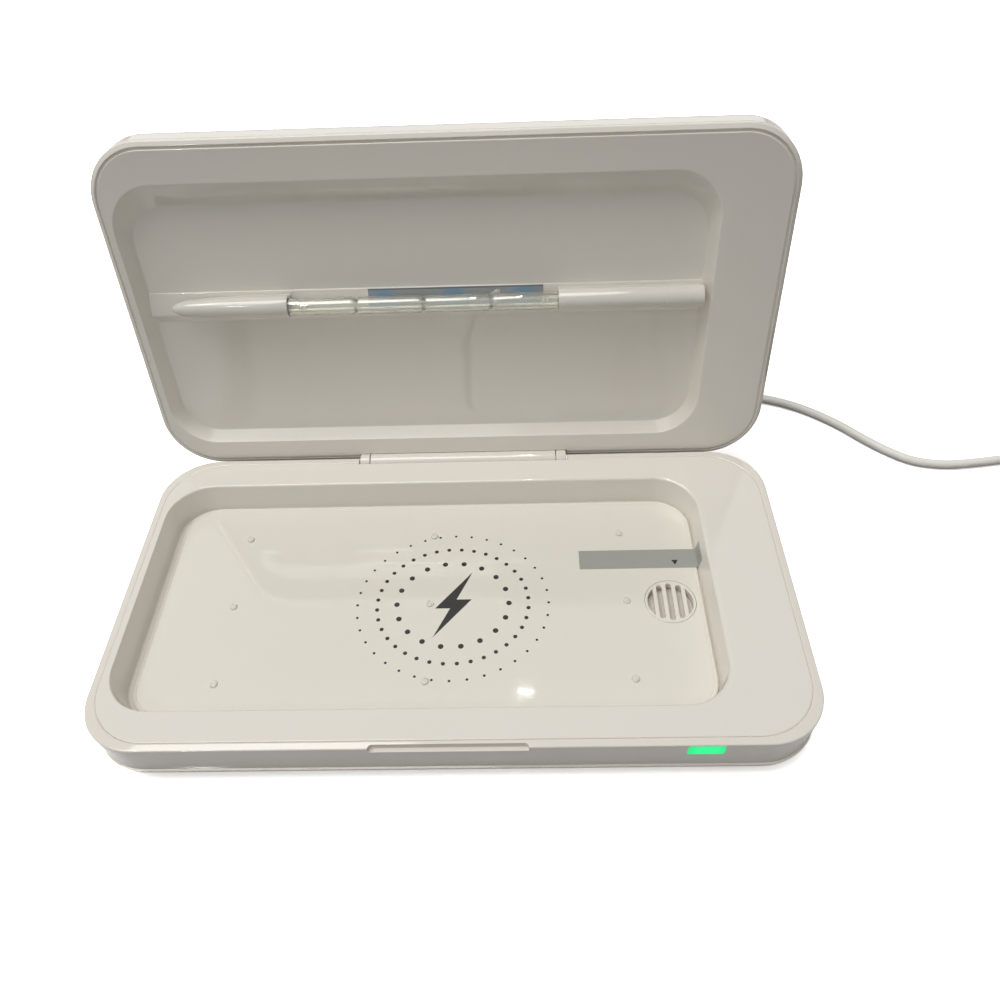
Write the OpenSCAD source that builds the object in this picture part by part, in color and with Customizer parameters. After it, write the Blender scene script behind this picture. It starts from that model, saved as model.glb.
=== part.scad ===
// Phone sanitizer box: a charging tray with an aroma diffuser, and a hinged lid with a lamp.
// Millimetres, +X right, +Y back, +Z up. The origin is on the table, under the middle of the base.
// The lid's pieces are drawn closed and then swung open about the hinge.

/* [Box] */
// Width of the box, left to right
body_w = 222; // [220:0.5:224]
// Depth of the box, front to back
body_d = 118; // [117:0.5:120]
// Corner radius of the outline, seen from above
corner_r = 21.4; // [20.5:0.1:22]
// Height of the base's rim above the table
rim_z = 22; // [22:0.5:24]
// Height of the closed box
closed_h = 43; // [42.5:0.5:44]
// Thickness of the moulded walls
wall_t = 2.2; // [2:0.1:2.4]

/* [Base] */
// Height of the rubber feet below the base
foot_h = 1.5; // [1.2:0.1:1.8]
// Radius of the base's rounded lower edge
base_edge_r = 8.9; // [8:0.1:9.2]
// Width of the sloping band round the rim
base_band = 2.6; // [2.2:0.1:3]
// Fall of that band from the seam to the outer edge
base_bevel = 0.6; // [0.4:0.1:0.8]
// Width of the finger notch in the front edge
notch_w = 46.6; // [40:0.2:50]
// Depth of the finger notch below the rim
notch_drop = 2.3; // [1.8:0.1:2.6]
// Left end of the indicator light
light_x = 68.9; // [66:0.1:72]
// Length of the indicator light
light_w = 10.7; // [8:0.1:12]
// Height of the indicator light on the front wall
light_h = 5.2; // [4:0.1:5.4]

/* [Tray] */
// Width of the tray's mouth
tray_w = 191.3; // [190:0.1:192]
// Depth of the tray's mouth, front to back
tray_d = 91.6; // [91:0.1:92]
// Corner radius of the tray's mouth
tray_r = 15; // [14:0.1:16]
// Middle of the tray, left of the box's middle
tray_x = -10.55; // [-11:0.05:-10]
// Slope of the tray's walls over their height
tray_draft = 1.6; // [1.2:0.1:1.8]
// Height of the charging plate above the table
plate_z = 12; // [11.8:0.1:12.5]
// Width of the charging plate
plate_w = 186.2; // [180:0.1:186.4]
// Depth of the charging plate, front to back
plate_d = 86.9; // [84:0.1:87.2]
// Middle of the charging plate, left of the box's middle
plate_x = -9.8; // [-10.2:0.1:-9.7]

/* [Diffuser] */
// Middle of the grille, right of the box's middle
grille_x = 72.1; // [71:0.1:73]
// Middle of the grille, front to back
grille_y = -2.4; // [-6:0.1:2]
// Radius of the grille's disc
grille_r = 8.6; // [8.2:0.1:8.8]
// Distance from one slot to the next
slot_pitch = 3.25; // [3:0.05:3.4]
// Width of a slot
slot_w = 1.9; // [1.6:0.1:2.1]

/* [Hinge] */
// Radius of the hinge's knuckles
knuckle_r = 3; // [2.8:0.1:3]
// Distance of the hinge's axis from the back face
hinge_in = 0.6; // [0.5:0.1:0.8]
// Height of the hinge's axis below the rim
hinge_drop = 1.6; // [1.5:0.1:1.7]
// Middle of the hinge, right of the box's middle
hinge_x = 0.5; // [-2:0.5:2]
// Half the length of the base's knuckle
barrel_half = 35; // [30:0.5:36]
// Angle of the open lid
lid_open = 100.45; // [90:0.05:101]

/* [Lid] */
// Gap between the rim and the closed lid
lid_gap = 0.3; // [0.3:0.1:0.5]
// Radius of the lid's rounded upper edge
lid_edge_r = 13; // [12:0.5:13]
// Width of the sloping band round the lid's face
lid_band = 2.4; // [2.2:0.1:2.6]
// Fall of that band
lid_bevel = 1.1; // [0.8:0.1:1.2]
// Depth of the hollow in the lid
hollow_depth = 6; // [5.5:0.1:6]
// Height of the lamp's ridge above the hollow's floor
ridge_h = 1.6; // [1.4:0.1:1.6]

/* [Lamp] */
// Radius of the glass tube
tube_r = 3; // [2.8:0.1:3]
// Length of one of the tube's four bulbs
bulb_l = 22.9; // [22:0.1:23]
// Distance of the lamp from the hinge's axis, along the lid
lamp_v = 62.7; // [62:0.1:63]
// Left end of the lit part of the tube
lamp_left = -55.2; // [-56:0.1:-55]
// Outer radius of the lamp's covers
cover_r = 4.1; // [4:0.1:4.2]

/* [Button] */
// Radius of the start button
button_r = 6.5; // [6:0.1:7]
// Travel of the start button
button_travel = 0.8; // [0.5:0.1:0.8]

/* [Cord] */
// Diameter of the power cord
cord_d = 3.7; // [3.5:0.1:3.9]
// Radius of the coil's outermost turn, on the cord's middle
coil_r = 29; // [28:0.5:30]
// Distance from one turn of the coil to the next
coil_pitch = 4.9; // [4.9:0.1:5.2]

/* [Hidden] */
$fn = 64;
clear = 0.3;

base_bottom = foot_h;
crisp_z = rim_z - base_bevel;
base_arc_z = base_bottom + base_edge_r;
shelf_z = rim_z - 2;
shelf_in = base_band + 2;
seam = 0.25;
ledge_in = 12.4;
ledge_t = 1.5;
cover_in = 9.1;
cover_top = base_bottom + wall_t;
bezel_in = base_band + seam;
moat_z = 10.8;
tub_t = 1.8;
tub_bottom = moat_z - tub_t;
tray_y = -0.2;
plate_y = -0.25;
plate_corner = 12;
bump_r = 1.3;

hinge_y = body_d / 2 - hinge_in;
hinge_z = rim_z - hinge_drop;
pin_r = 1;
pin_play = 0.05;
end_knuckle = 3.6;
hinge_slot = barrel_half + clear + end_knuckle + 2.1;

part_z = rim_z + lid_gap;
lid_crisp_z = part_z + lid_bevel;
lid_arc_z = closed_h - lid_edge_r;
face_t = 2;
liner_in = lid_band + seam;
liner_back_z = part_z + face_t;
floor_z = part_z + hollow_depth;
liner_top = floor_z + tub_t;
ridge_z = floor_z - ridge_h;
mouth = [193.8, 95.4, 15.4, -9.7, 1.5];
floor_size = [188.8, 85, 13, -9.6, 4.9];

lamp_y = hinge_y - lamp_v;
lamp_z = hinge_z + tube_r;
lamp_right = lamp_left + 4 * bulb_l - 0.3;
tube_buried = 5;
neck_r = 2.25;
tube_wall = 0.7;
cover_t = 0.7;
left_tip = -95.5;
left_taper = 15;
right_end = 84.6;
right_step = 72.3;

button_pos = [86, 0];
socket_x = 80;
socket_z = 11;
plug_r = 2.8;
ring_pos = [-1.5, -2.2];
socket_neck_r = 3.9;
screw_xy = [76, 38];
screw_head_r = 2.5;
screw_shank_r = 1.15;
foot_xy = [88, 38];
foot_r = 5.5;
strip_left = 42.4;
strip_y = [11.8, 19.9];
strip_t = 0.2;
strip_rise = 4.5;

// The cord runs from the plug's end, under the open lid, and over the table to the coil.
coil_pos = [241, 44];
cord_z = cord_d / 2;
tie_t = 0.75;
coil_z = cord_z + tie_t;
cord_route = [
    [80, 84, 11], [80, 88, 11], [80.6, 95, 9], [84, 103, 5], [91, 108.5, 2.6],
    [100, 111.5, 1.9], [110, 112.5, 1.9], [119.5, 112, 1.9], [128.5, 110.3, 1.9],
    [138.7, 106, 1.9], [147.8, 100, 1.9], [156.3, 92.5, 1.9], [164.2, 83.8, 1.9],
    [172.1, 76.3, 1.9], [180.3, 71, 1.9], [191.4, 68.7, 1.9], [202.7, 69.3, 1.9],
    [214.2, 70.8, 1.9], [225, 72.4, 2.2], [232, 73, 2.6], [237, 73, 2.6]
];
turns_in = 3;
turns_climb = 0.5;
turns_out = 2.75;
coil_turns = turns_in + turns_climb + turns_out;
coil_steps = 24;
coil_inner = coil_r - turns_in * coil_pitch;
coil_lift = cord_d + 0.55;
coil_end_x = coil_pos[0] + coil_inner + turns_out * coil_pitch;
tail_route = [
    [coil_end_x, 40, coil_z + coil_lift], [coil_end_x, 38.5, coil_z + coil_lift],
    [coil_end_x, 33, 5.4], [coil_end_x, 27, 3.2],
    [coil_end_x + 0.2, 20, 2.4], [coil_end_x + 0.2, 13, 4], [coil_end_x + 0.2, 9, 4]
];
usb_y = 9;

white = [0.9, 0.89, 0.87];
pale = [0.86, 0.85, 0.83];
cord_white = [0.85, 0.84, 0.82];

// Outline of a rounded rectangle
module round_rect(w, d, r) {
    square([w - 2 * r, d], center = true);
    square([w, d - 2 * r], center = true);
    for (x = [-1, 1], y = [-1, 1])
        translate([x * (w / 2 - r), y * (d / 2 - r)]) circle(r);
}

// Rounded slab between two heights
module slab(w, d, r, z0, z1) {
    translate([0, 0, z0]) linear_extrude(height = z1 - z0) round_rect(w, d, r);
}

// Sweeps a profile round a rounded rectangle: x = 0 is the outline and -x runs inward
module swept(w, d, r) {
    for (turn = [0:3]) {
        across = turn % 2 == 0 ? w : d;
        along = turn % 2 == 0 ? d : w;
        rotate(90 * turn) {
            translate([across / 2, 0, 0]) rotate([90, 0, 0])
                linear_extrude(height = along - 2 * r, center = true) children();
            translate([across / 2 - r, along / 2 - r, 0])
                rotate_extrude(angle = 90) translate([r, 0]) children();
        }
    }
}

// Block with sloping sides: the given size at z1 and smaller by the draft on each side at z0
module drafted(w, d, r, z0, z1, draft) {
    swept(w, d, r) polygon([[-r, z0], [-draft, z0], [0, z1], [-r, z1]]);
    translate([r - w / 2, r - d / 2, z0]) cube([w - 2 * r, d - 2 * r, z1 - z0]);
}

// Quarter of a ring, the convex side facing +x and up, or down when flipped
module quarter(r, t, flipped = false) {
    mirror([0, flipped ? 1 : 0]) difference() {
        intersection() {
            circle(r);
            square(r);
        }
        circle(r - t);
    }
}

// Rod along X between two places
module rod_x(r, x0, x1, y, z) {
    translate([x0, y, z]) rotate([0, 90, 0]) cylinder(r = r, h = x1 - x0);
}

// Rod along Y between two places
module rod_y(r, y0, y1, x, z) {
    translate([x, y1, z]) rotate([90, 0, 0]) cylinder(r = r, h = y1 - y0);
}

// Post standing on the table's plane
module post(r, xy, z0, z1) {
    translate([xy[0], xy[1], z0]) cylinder(r = r, h = z1 - z0);
}

// Box between two corners
module block(a, b) {
    translate(a) cube(b - a);
}

// Repeats a piece in the four quarters
module four(xy) {
    for (x = [-1, 1], y = [-1, 1])
        translate([x * xy[0], y * xy[1], 0]) children();
}

// Swings the closed lid open about the hinge
module opened() {
    translate([0, hinge_y, hinge_z]) rotate([-lid_open, 0, 0])
        translate([0, -hinge_y, -hinge_z]) children();
}

// Section of the base's wall: sloping band, shelf for the bezel, rounded foot and ledge
module base_section() {
    polygon([
        [0, base_arc_z], [0, crisp_z], [-base_band, rim_z], [-base_band, shelf_z],
        [-shelf_in, shelf_z], [-shelf_in, shelf_z - 1.2], [-wall_t, shelf_z - 3.6],
        [-wall_t, base_arc_z]
    ]);
    translate([-base_edge_r, base_arc_z]) quarter(base_edge_r, wall_t, true);
    translate([-ledge_in, cover_top]) square([ledge_in - 4.5, ledge_t]);
}

// Room in the base for the lid's two end knuckles
module knuckle_room() {
    for (side = [0, 1])
        translate([hinge_x, 0, 0]) mirror([side, 0, 0])
            rod_x(knuckle_r + clear, barrel_half + clear / 2, hinge_slot + clear, hinge_y, hinge_z);
}

// Relief in the left shelf of the base or the lid, beside the tray or the hollow
module shelf_relief(z0, z1) {
    block([2.8 - body_w / 2, -42, z0], [6 - body_w / 2, 44, z1]);
}

module base_shell() color(white) difference() {
    union() {
        swept(body_w, body_d, corner_r) base_section();
        rod_x(knuckle_r, hinge_x - barrel_half, hinge_x + barrel_half, hinge_y, hinge_z);
    }
    knuckle_room();
    rod_x(pin_r + pin_play, hinge_x - barrel_half - 1, hinge_x - barrel_half + 10, hinge_y, hinge_z);
    rod_x(pin_r + pin_play, hinge_x + barrel_half - 10, hinge_x + barrel_half + 1, hinge_y, hinge_z);
    block([-notch_w / 2, -body_d / 2 - 1, rim_z - notch_drop], [notch_w / 2, 1.4 - body_d / 2, rim_z + 1]);
    block([light_x, -body_d / 2 - 1, rim_z - light_h - 0.6], [light_x + light_w, 6 - body_d / 2, rim_z + 1]);
    rod_y(socket_neck_r, body_d / 2 - 6, body_d / 2 + 1, socket_x, socket_z);
    shelf_relief(shelf_z - 4, shelf_z + 1);
}

module bottom_cover() color(pale) {
    inset = 2 * cover_in;
    difference() {
        slab(body_w - inset, body_d - inset, corner_r - cover_in, base_bottom, cover_top);
        four(screw_xy) translate([0, 0, base_bottom - 1]) cylinder(r = 1.5, h = wall_t + 2);
        four(screw_xy) translate([0, 0, base_bottom - 1]) cylinder(r = screw_head_r + clear, h = 2);
        four(foot_xy) translate([0, 0, base_bottom - 1]) cylinder(r = foot_r + 0.1, h = 1.4);
    }
    for (x = [-68, -36], y = [-14, 14])
        post(1.8, [x, y], cover_top, 5);
    for (x = [90, 96], y = [-30, 30])
        post(1.8, [x, y], cover_top, 9);
}

module tray_bezel() color(white) {
    inset = 2 * bezel_in;
    lip = 0.9;
    difference() {
        union() {
            slab(body_w - inset, body_d - inset, corner_r - bezel_in, shelf_z, rim_z);
            translate([tray_x, tray_y, 0])
                drafted(tray_w + 2 * tub_t, tray_d + 2 * tub_t, tray_r + tub_t, tub_bottom, shelf_z, tray_draft);
            four(screw_xy) translate([0, 0, cover_top]) cylinder(r = 3.2, h = tub_bottom - cover_top);
        }
        translate([tray_x, tray_y, 0]) {
            drafted(tray_w, tray_d, tray_r, moat_z, rim_z, tray_draft);
            drafted(tray_w + 2 * lip, tray_d + 2 * lip, tray_r + lip, rim_z - lip, rim_z + lip, 2 * lip);
        }
        four(screw_xy) translate([0, 0, cover_top - 1]) cylinder(r = screw_shank_r, h = 6.4);
        post(7.9, [grille_x, grille_y], tub_bottom - 1, moat_z + 1);
        rod_x(knuckle_r + clear, hinge_x - hinge_slot, hinge_x + hinge_slot, hinge_y, hinge_z);
        block([light_x - 1, -body_d / 2, shelf_z - 1], [light_x + light_w + 1, -body_d / 2 + bezel_in, rim_z + 1]);
    }
}

module charging_plate() color(white) {
    edge = 0.8;
    translate([plate_x, plate_y, 0]) {
        difference() {
            union() {
                swept(plate_w, plate_d, plate_corner) polygon([
                    [-plate_corner, moat_z], [0, moat_z], [0, plate_z - edge],
                    [-0.3 * edge, plate_z - 0.3 * edge], [-edge, plate_z], [-plate_corner, plate_z]
                ]);
                translate([plate_corner - plate_w / 2, plate_corner - plate_d / 2, moat_z])
                    cube([plate_w - 2 * plate_corner, plate_d - 2 * plate_corner, plate_z - moat_z]);
            }
            post(grille_r + 0.1, [grille_x - plate_x, grille_y - plate_y], moat_z - 1, plate_z + 1);
            for (p = bump_places())
                post(bump_r, [p[0] - plate_x, p[1] - plate_y], plate_z - 0.5, plate_z + 1);
            block([strip_left - plate_x, strip_y[0] - plate_y, plate_z - strip_t],
                [plate_w / 2 + 1, strip_y[1] - plate_y, plate_z + 1]);
        }
    }
}

// Three rows of three bumps that hold a phone off the plate
function bump_places() = [for (x = [-76.9, -9.4, 57.4], y = [27.7, -1.9, -31.7]) [x, y]];

module phone_bumps() color([0.93, 0.93, 0.92]) {
    for (p = bump_places())
        translate([p[0], p[1], plate_z - 0.5]) {
            cylinder(r = bump_r, h = 0.9);
            translate([0, 0, 0.9]) cylinder(r1 = bump_r, r2 = 0.8, h = 0.3);
        }
}

module charge_coil() color("peru") {
    translate([ring_pos[0], ring_pos[1], tub_bottom - 1.2]) difference() {
        cylinder(r = 25, h = 1.2);
        translate([0, 0, -1]) cylinder(r = 11, h = 4);
    }
}

module ferrite_sheet() color([0.25, 0.25, 0.26]) {
    post(26, ring_pos, tub_bottom - 2.2, tub_bottom - 1.2);
}

module charger_board() color("seagreen") {
    block([-72, -18, 5], [-30, 18, 6.2]);
    block([-60, -8, 6.2], [-50, 2, 7.4]);
    block([-44, 4, 6.2], [-38, 12, 8.2]);
    for (y = [-12, -4, 4, 12])
        post(1.6, [-66, y], 6.2, 8.4);
}

module control_board() color("seagreen") {
    block([87.5, -36, 9], [103, 36, 10.6]);
    block([90, -8, 10.6], [98, 0, 12.2]);
    post(3, [95, 14], 10.6, 17);
    post(3, [95, 24], 10.6, 17);
    block([90, -28, 10.6], [100, -18, 14]);
}

module lid_sensor() color([0.15, 0.15, 0.16]) {
    block([97, -46, shelf_z - 1.5], [103, -42, shelf_z]);
}

// Section of the indicator light, flush with the wall and the sloping band
module indicator_section() {
    polygon([
        [0, rim_z - light_h - 0.6], [0, crisp_z], [-base_band, rim_z], [-bezel_in, rim_z],
        [-bezel_in, shelf_z], [-3.4, shelf_z], [-3.4, rim_z - light_h - 0.6]
    ]);
}

module indicator_light() color([0, 0.96, 0.53]) {
    translate([light_x + light_w, -body_d / 2, 0]) rotate([0, 0, -90]) rotate([90, 0, 0])
        linear_extrude(height = light_w) indicator_section();
}

module indicator_board() color("seagreen") {
    y = 4.6 - body_d / 2;
    block([light_x - 2, y, 8], [light_x + light_w + 2, y + 1.2, shelf_z]);
    for (x = [2.5, 7])
        block([light_x + x, y - 1.2, 17], [light_x + x + 1.6, y, 19.4]);
}

module aroma_grille() color(white) {
    translate([grille_x, grille_y, moat_z]) difference() {
        cylinder(r = grille_r, h = 1.3);
        translate([0, 0, -1]) linear_extrude(height = 4) intersection() {
            circle(7.7);
            for (i = [-2:2])
                translate([i * slot_pitch, 0]) square([slot_w, 18], center = true);
        }
    }
}

module aroma_reservoir() color(pale) {
    translate([grille_x, grille_y, cover_top]) difference() {
        cylinder(r = 9.6, h = tub_bottom - cover_top);
        translate([0, 0, 1.2]) cylinder(r = 7.9, h = 10);
    }
}

module aroma_pad() color([0.72, 0.68, 0.62]) {
    post(7.8, [grille_x, grille_y], cover_top + 1.2, tub_bottom - 0.4);
}

// Face of the tray's right wall at a height, with a hair of room
function right_wall(z) = tray_x + tray_w / 2 - tray_draft * (rim_z - z) / (rim_z - moat_z) - 0.03;

// Thin strip let into the plate that turns up the tray's right wall
module instruction_strip() color([0.64, 0.65, 0.63]) {
    under = plate_z - strip_t;
    top = plate_z + strip_rise;
    translate([0, strip_y[1], 0]) rotate([90, 0, 0]) linear_extrude(height = strip_y[1] - strip_y[0]) polygon([
        [strip_left, under], [right_wall(under), under], [right_wall(top), top],
        [right_wall(top) - strip_t, top], [right_wall(plate_z) - 2 * strip_t, plate_z], [strip_left, plate_z]
    ]);
}

module power_socket() color([0.13, 0.13, 0.14]) difference() {
    union() {
        block([socket_x - 5, 48.2, socket_z - 4.5], [socket_x + 5, body_d / 2 - 4, socket_z + 4.5]);
        rod_y(socket_neck_r, body_d / 2 - 4, body_d / 2, socket_x, socket_z);
    }
    rod_y(plug_r, 50, body_d / 2 + 1, socket_x, socket_z);
}

module rubber_feet() color([0.2, 0.2, 0.2]) {
    four(foot_xy) cylinder(r = foot_r, h = base_bottom + 0.4);
}

module base_screws() color("silver") {
    four(screw_xy) {
        translate([0, 0, base_bottom]) cylinder(r = screw_head_r, h = 1);
        translate([0, 0, base_bottom + 1]) cylinder(r = screw_shank_r, h = 6);
    }
}

// Section of the lid's wall: sloping band, shelf for the liner, rounded upper edge and top
module lid_section() {
    shelf = liner_back_z;
    polygon([
        [0, lid_crisp_z], [0, lid_arc_z], [-wall_t, lid_arc_z], [-wall_t, shelf + 3.4],
        [-lid_band - 2, shelf + 1.2], [-lid_band - 2, shelf], [-lid_band, shelf], [-lid_band, part_z]
    ]);
    translate([-lid_edge_r, lid_arc_z]) quarter(lid_edge_r, wall_t);
    translate([-corner_r, closed_h - wall_t]) square([corner_r - lid_edge_r, wall_t]);
}

// Room in the lid for the hinge, shared by its cover and its liner
module hinge_room() {
    rod_x(knuckle_r + 0.4, hinge_x - hinge_slot, hinge_x + hinge_slot, hinge_y, hinge_z);
}

module lid_cover() color(white) opened() difference() {
    union() {
        difference() {
            union() {
                swept(body_w, body_d, corner_r) lid_section();
                translate([corner_r - body_w / 2, corner_r - body_d / 2, closed_h - wall_t])
                    cube([body_w - 2 * corner_r, body_d - 2 * corner_r, wall_t]);
            }
            hinge_room();
            shelf_relief(liner_back_z - 0.1, liner_back_z + 4);
            post(button_r + clear, button_pos, closed_h - 5, closed_h + 1);
        }
        for (side = [0, 1])
            translate([hinge_x, 0, 0]) mirror([side, 0, 0]) {
                rod_x(knuckle_r, barrel_half + clear, barrel_half + clear + end_knuckle, hinge_y, hinge_z);
                block([barrel_half + clear, hinge_y - 1.6, hinge_z],
                    [barrel_half + clear + end_knuckle, body_d / 2, hinge_z + 5]);
            }
    }
    rod_x(pin_r, hinge_x - hinge_slot, hinge_x + hinge_slot, hinge_y, hinge_z);
}

// Hollow of the lid: a wide mouth, and a floor set back from the sloping front wall
module hollow(grow) {
    hull() {
        translate([mouth[3], mouth[4], 0])
            slab(mouth[0] + 2 * grow, mouth[1] + 2 * grow, mouth[2] + grow, part_z - 0.01, part_z, $fn = 32);
        translate([floor_size[3], floor_size[4], 0])
            slab(floor_size[0] + 2 * grow, floor_size[1] + 2 * grow, floor_size[2] + grow,
                floor_z + grow - 0.01, floor_z + grow, $fn = 32);
    }
}

// Rounded lip of the hollow, as a narrow slope
module hollow_lip() {
    hull() {
        translate([mouth[3], mouth[4], 0]) {
            slab(mouth[0] + 2, mouth[1] + 2, mouth[2] + 1, part_z - 0.02, part_z, $fn = 32);
            slab(mouth[0], mouth[1], mouth[2], part_z + 0.9, part_z + 1, $fn = 32);
        }
    }
}

module lid_liner() color(white) opened() {
    inset = 2 * liner_in;
    difference() {
        union() {
            slab(body_w - inset, body_d - inset, corner_r - liner_in, part_z, liner_back_z);
            intersection() {
                hollow(tub_t);
                slab(body_w - 6, body_d - 6, corner_r - 3, part_z + 1, closed_h);
            }
        }
        difference() {
            union() {
                hollow(0);
                hollow_lip();
            }
            translate([-120, 0, 0]) rotate([90, 0, 90]) linear_extrude(height = 240) polygon([
                [hinge_y - 55.7, floor_z + 1], [hinge_y - 55.7, floor_z], [hinge_y - 59, ridge_z],
                [hinge_y - 67, ridge_z], [hinge_y - 67.5, floor_z], [hinge_y - 67.5, floor_z + 1]
            ]);
        }
        hinge_room();
    }
    for (x = [4, 56], y = [18, 38])
        post(1.8, [x, y], liner_top, liner_top + 1.4);
    for (x = [78.5, 93.5])
        post(1.8, [x, 0], x < 84 ? liner_top - 0.5 : liner_back_z, liner_top + 1.4);
}

module hinge_pins() color("silver") opened() {
    for (side = [0, 1])
        translate([hinge_x, 0, 0]) mirror([side, 0, 0])
            rod_x(pin_r, barrel_half - 8, barrel_half + clear + end_knuckle, hinge_y, hinge_z);
}

// Outline of the glass from one sealed end to the other, with a neck between bulbs
function glass_outline(r, neck, start, end) = concat(
    [[0, start], [r - 0.6, start], [r, start + 1]],
    [for (i = [1:3], p = [[r, -1.6], [neck, -0.4], [neck, 0.4], [r, 1.6]])
        [p[0], lamp_left + i * bulb_l + p[1]]],
    [[r, end - 1], [r - 0.6, end], [0, end]]
);

module lamp_tube() color([0.85, 0.9, 0.92, 0.5]) opened() {
    x0 = lamp_left - tube_buried;
    x1 = lamp_right + tube_buried;
    translate([0, lamp_y, lamp_z]) difference() {
        union() {
            rotate([0, 90, 0]) rotate_extrude() polygon(glass_outline(tube_r, neck_r, x0, x1));
            translate([16.2, -tube_r, 0]) sphere(r = 0.9);
        }
        rotate([0, 90, 0]) rotate_extrude()
            polygon(glass_outline(tube_r - tube_wall, neck_r - tube_wall, x0 + 2, x1 - 2));
        rod_x(0.4, x0 - 1, x0 + 3, 0, 0);
        rod_x(0.4, x1 - 3, x1 + 1, 0, 0);
    }
}

module lamp_electrodes() color("lightgray") opened() {
    for (side = [0, 1]) {
        sealed = side == 0 ? lamp_left - tube_buried : -lamp_right - tube_buried;
        mirror([side, 0, 0]) {
            rod_x(0.4, sealed - 1.5, sealed + 4, lamp_y, lamp_z);
            rod_x(1.5, sealed + 4, sealed + 12, lamp_y, lamp_z);
        }
    }
}

module lamp_grommets() color([0.8, 0.8, 0.8]) opened() {
    for (x = [lamp_left - tube_buried + 1, lamp_right + 1])
        difference() {
            rod_x(cover_r - cover_t, x, x + 3, lamp_y, lamp_z);
            rod_x(tube_r, x - 1, x + 4, lamp_y, lamp_z);
            ridge_room();
        }
}

// The side of the ridge's face that its solid fills
module ridge_room() {
    block([-120, lamp_y - 9, ridge_z], [120, lamp_y + 9, ridge_z + 9]);
}

// Half-round cover over the lamp's wiring, standing on the ridge
module lamp_hood(r, x0, x1) difference() {
    union() {
        rod_x(r, x0, x1, lamp_y, lamp_z);
        block([x0, lamp_y - r, lamp_z], [x1, lamp_y + r, ridge_z]);
    }
    ridge_room();
}

module lamp_cover_left() color(white) opened() difference() {
    lamp_hood(cover_r, left_tip, lamp_left);
    lamp_hood(cover_r - cover_t, lamp_left - 9, lamp_left + 1);
    translate([left_tip, lamp_y, ridge_z])
        rotate([0, atan2(ridge_z - lamp_z + cover_r, left_taper), 0]) block([-20, -9, -20], [40, 9, 0]);
}

module lamp_cover_right() color(white) opened() difference() {
    union() {
        lamp_hood(cover_r, lamp_right, right_end);
        lamp_hood(cover_r + 0.25, right_step, right_end);
    }
    lamp_hood(cover_r - cover_t, lamp_right - 1, lamp_right + 9);
}

module lamp_strip() color([0.45, 0.66, 0.86]) opened() {
    block([-28.6, lamp_y - 4.2, ridge_z - 0.2], [32.4, lamp_y + 3.6, ridge_z]);
}

module lamp_board() color("seagreen") opened() {
    z = liner_top + 1.4;
    block([0, 14, z], [60, 42, z + 1.6]);
    block([8, 20, z + 1.6], [22, 34, z + 7]);
    post(3, [34, 24], z + 1.6, z + 6);
    post(3, [44, 24], z + 1.6, z + 6);
    block([30, 32, z + 1.6], [50, 38, z + 3.4]);
}

module button_board() color("seagreen") opened() {
    z = liner_top + 1.4;
    block([76, -8, z], [96, 8, z + 1.6]);
    block([button_pos[0] - 3, -3, z + 1.6], [button_pos[0] + 3, 3, z + 3]);
    post(1.7, button_pos, z + 3, z + 3.5);
}

module lid_magnet() color("silver") opened() {
    post(3, [100, -44], liner_back_z, liner_back_z + 2.4);
}

module start_button() color(white) opened() {
    top = closed_h + 0.3;
    under = closed_h - wall_t - clear;
    difference() {
        post(button_r, button_pos, under, top);
        translate([button_pos[0], button_pos[1], top + 29.2]) sphere(r = 30, $fn = 96);
    }
    post(button_r + 1.2, button_pos, under - 1.2, under);
    post(1.6, button_pos, liner_top + 4.9 + clear + button_travel, under - 1.2);
}

// Moulded plug: a round body, a grooved strain relief and a face at the wall
module power_plug() color(cord_white) difference() {
    union() {
        rod_y(4.3, body_d / 2 + 0.4, 74, socket_x, socket_z);
        translate([socket_x, 74, socket_z]) rotate([-90, 0, 0]) cylinder(r1 = 3.4, r2 = 2.3, h = 10);
    }
    for (y = [75.6, 78, 80.4])
        translate([socket_x, y, socket_z]) rotate([-90, 0, 0]) difference() {
            cylinder(r = 6, h = 1.1);
            translate([0, 0, -1]) cylinder(r = 2.2, h = 4);
        }
    rod_y(plug_r, body_d / 2, body_d / 2 + 8, socket_x, socket_z);
}

module plug_barrel() color("silver") difference() {
    rod_y(plug_r, 51, body_d / 2 + 8, socket_x, socket_z);
    rod_y(1.1, 50, body_d / 2 - 1, socket_x, socket_z);
}

function unit(v) = v / norm(v);
function heading(path, i) = unit(path[min(i + 1, len(path) - 1)] - path[max(i - 1, 0)]);

// Ring of points square to the path at one of its points
function ring(path, i, r, sides) =
    let (t = heading(path, i), side = unit(cross(t, [0, 0, 1])), up = cross(side, t))
    [for (k = [0:sides - 1]) let (a = 360 * (k + 0.5) / sides) path[i] + r * (cos(a) * side + sin(a) * up)];

// Tube swept along a path
module tube_along(path, r, sides) {
    n = len(path);
    points = [for (i = [0:n - 1], p = ring(path, i, r, sides)) p];
    walls = [for (i = [0:n - 2], k = [0:sides - 1])
        let (a = i * sides + k, b = i * sides + (k + 1) % sides)
        each [[a, b, b + sides], [a, b + sides, a + sides]]];
    first = [for (k = [1:sides - 2]) [0, k + 1, k]];
    last = [for (k = [1:sides - 2]) [0, k, k + 1] + (n - 1) * sides * [1, 1, 1]];
    polyhedron(points = points, faces = concat(walls, first, last), convexity = 6);
}

module cord_lead() color(cord_white) {
    tube_along(cord_route, cord_d / 2, 8);
}

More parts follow.
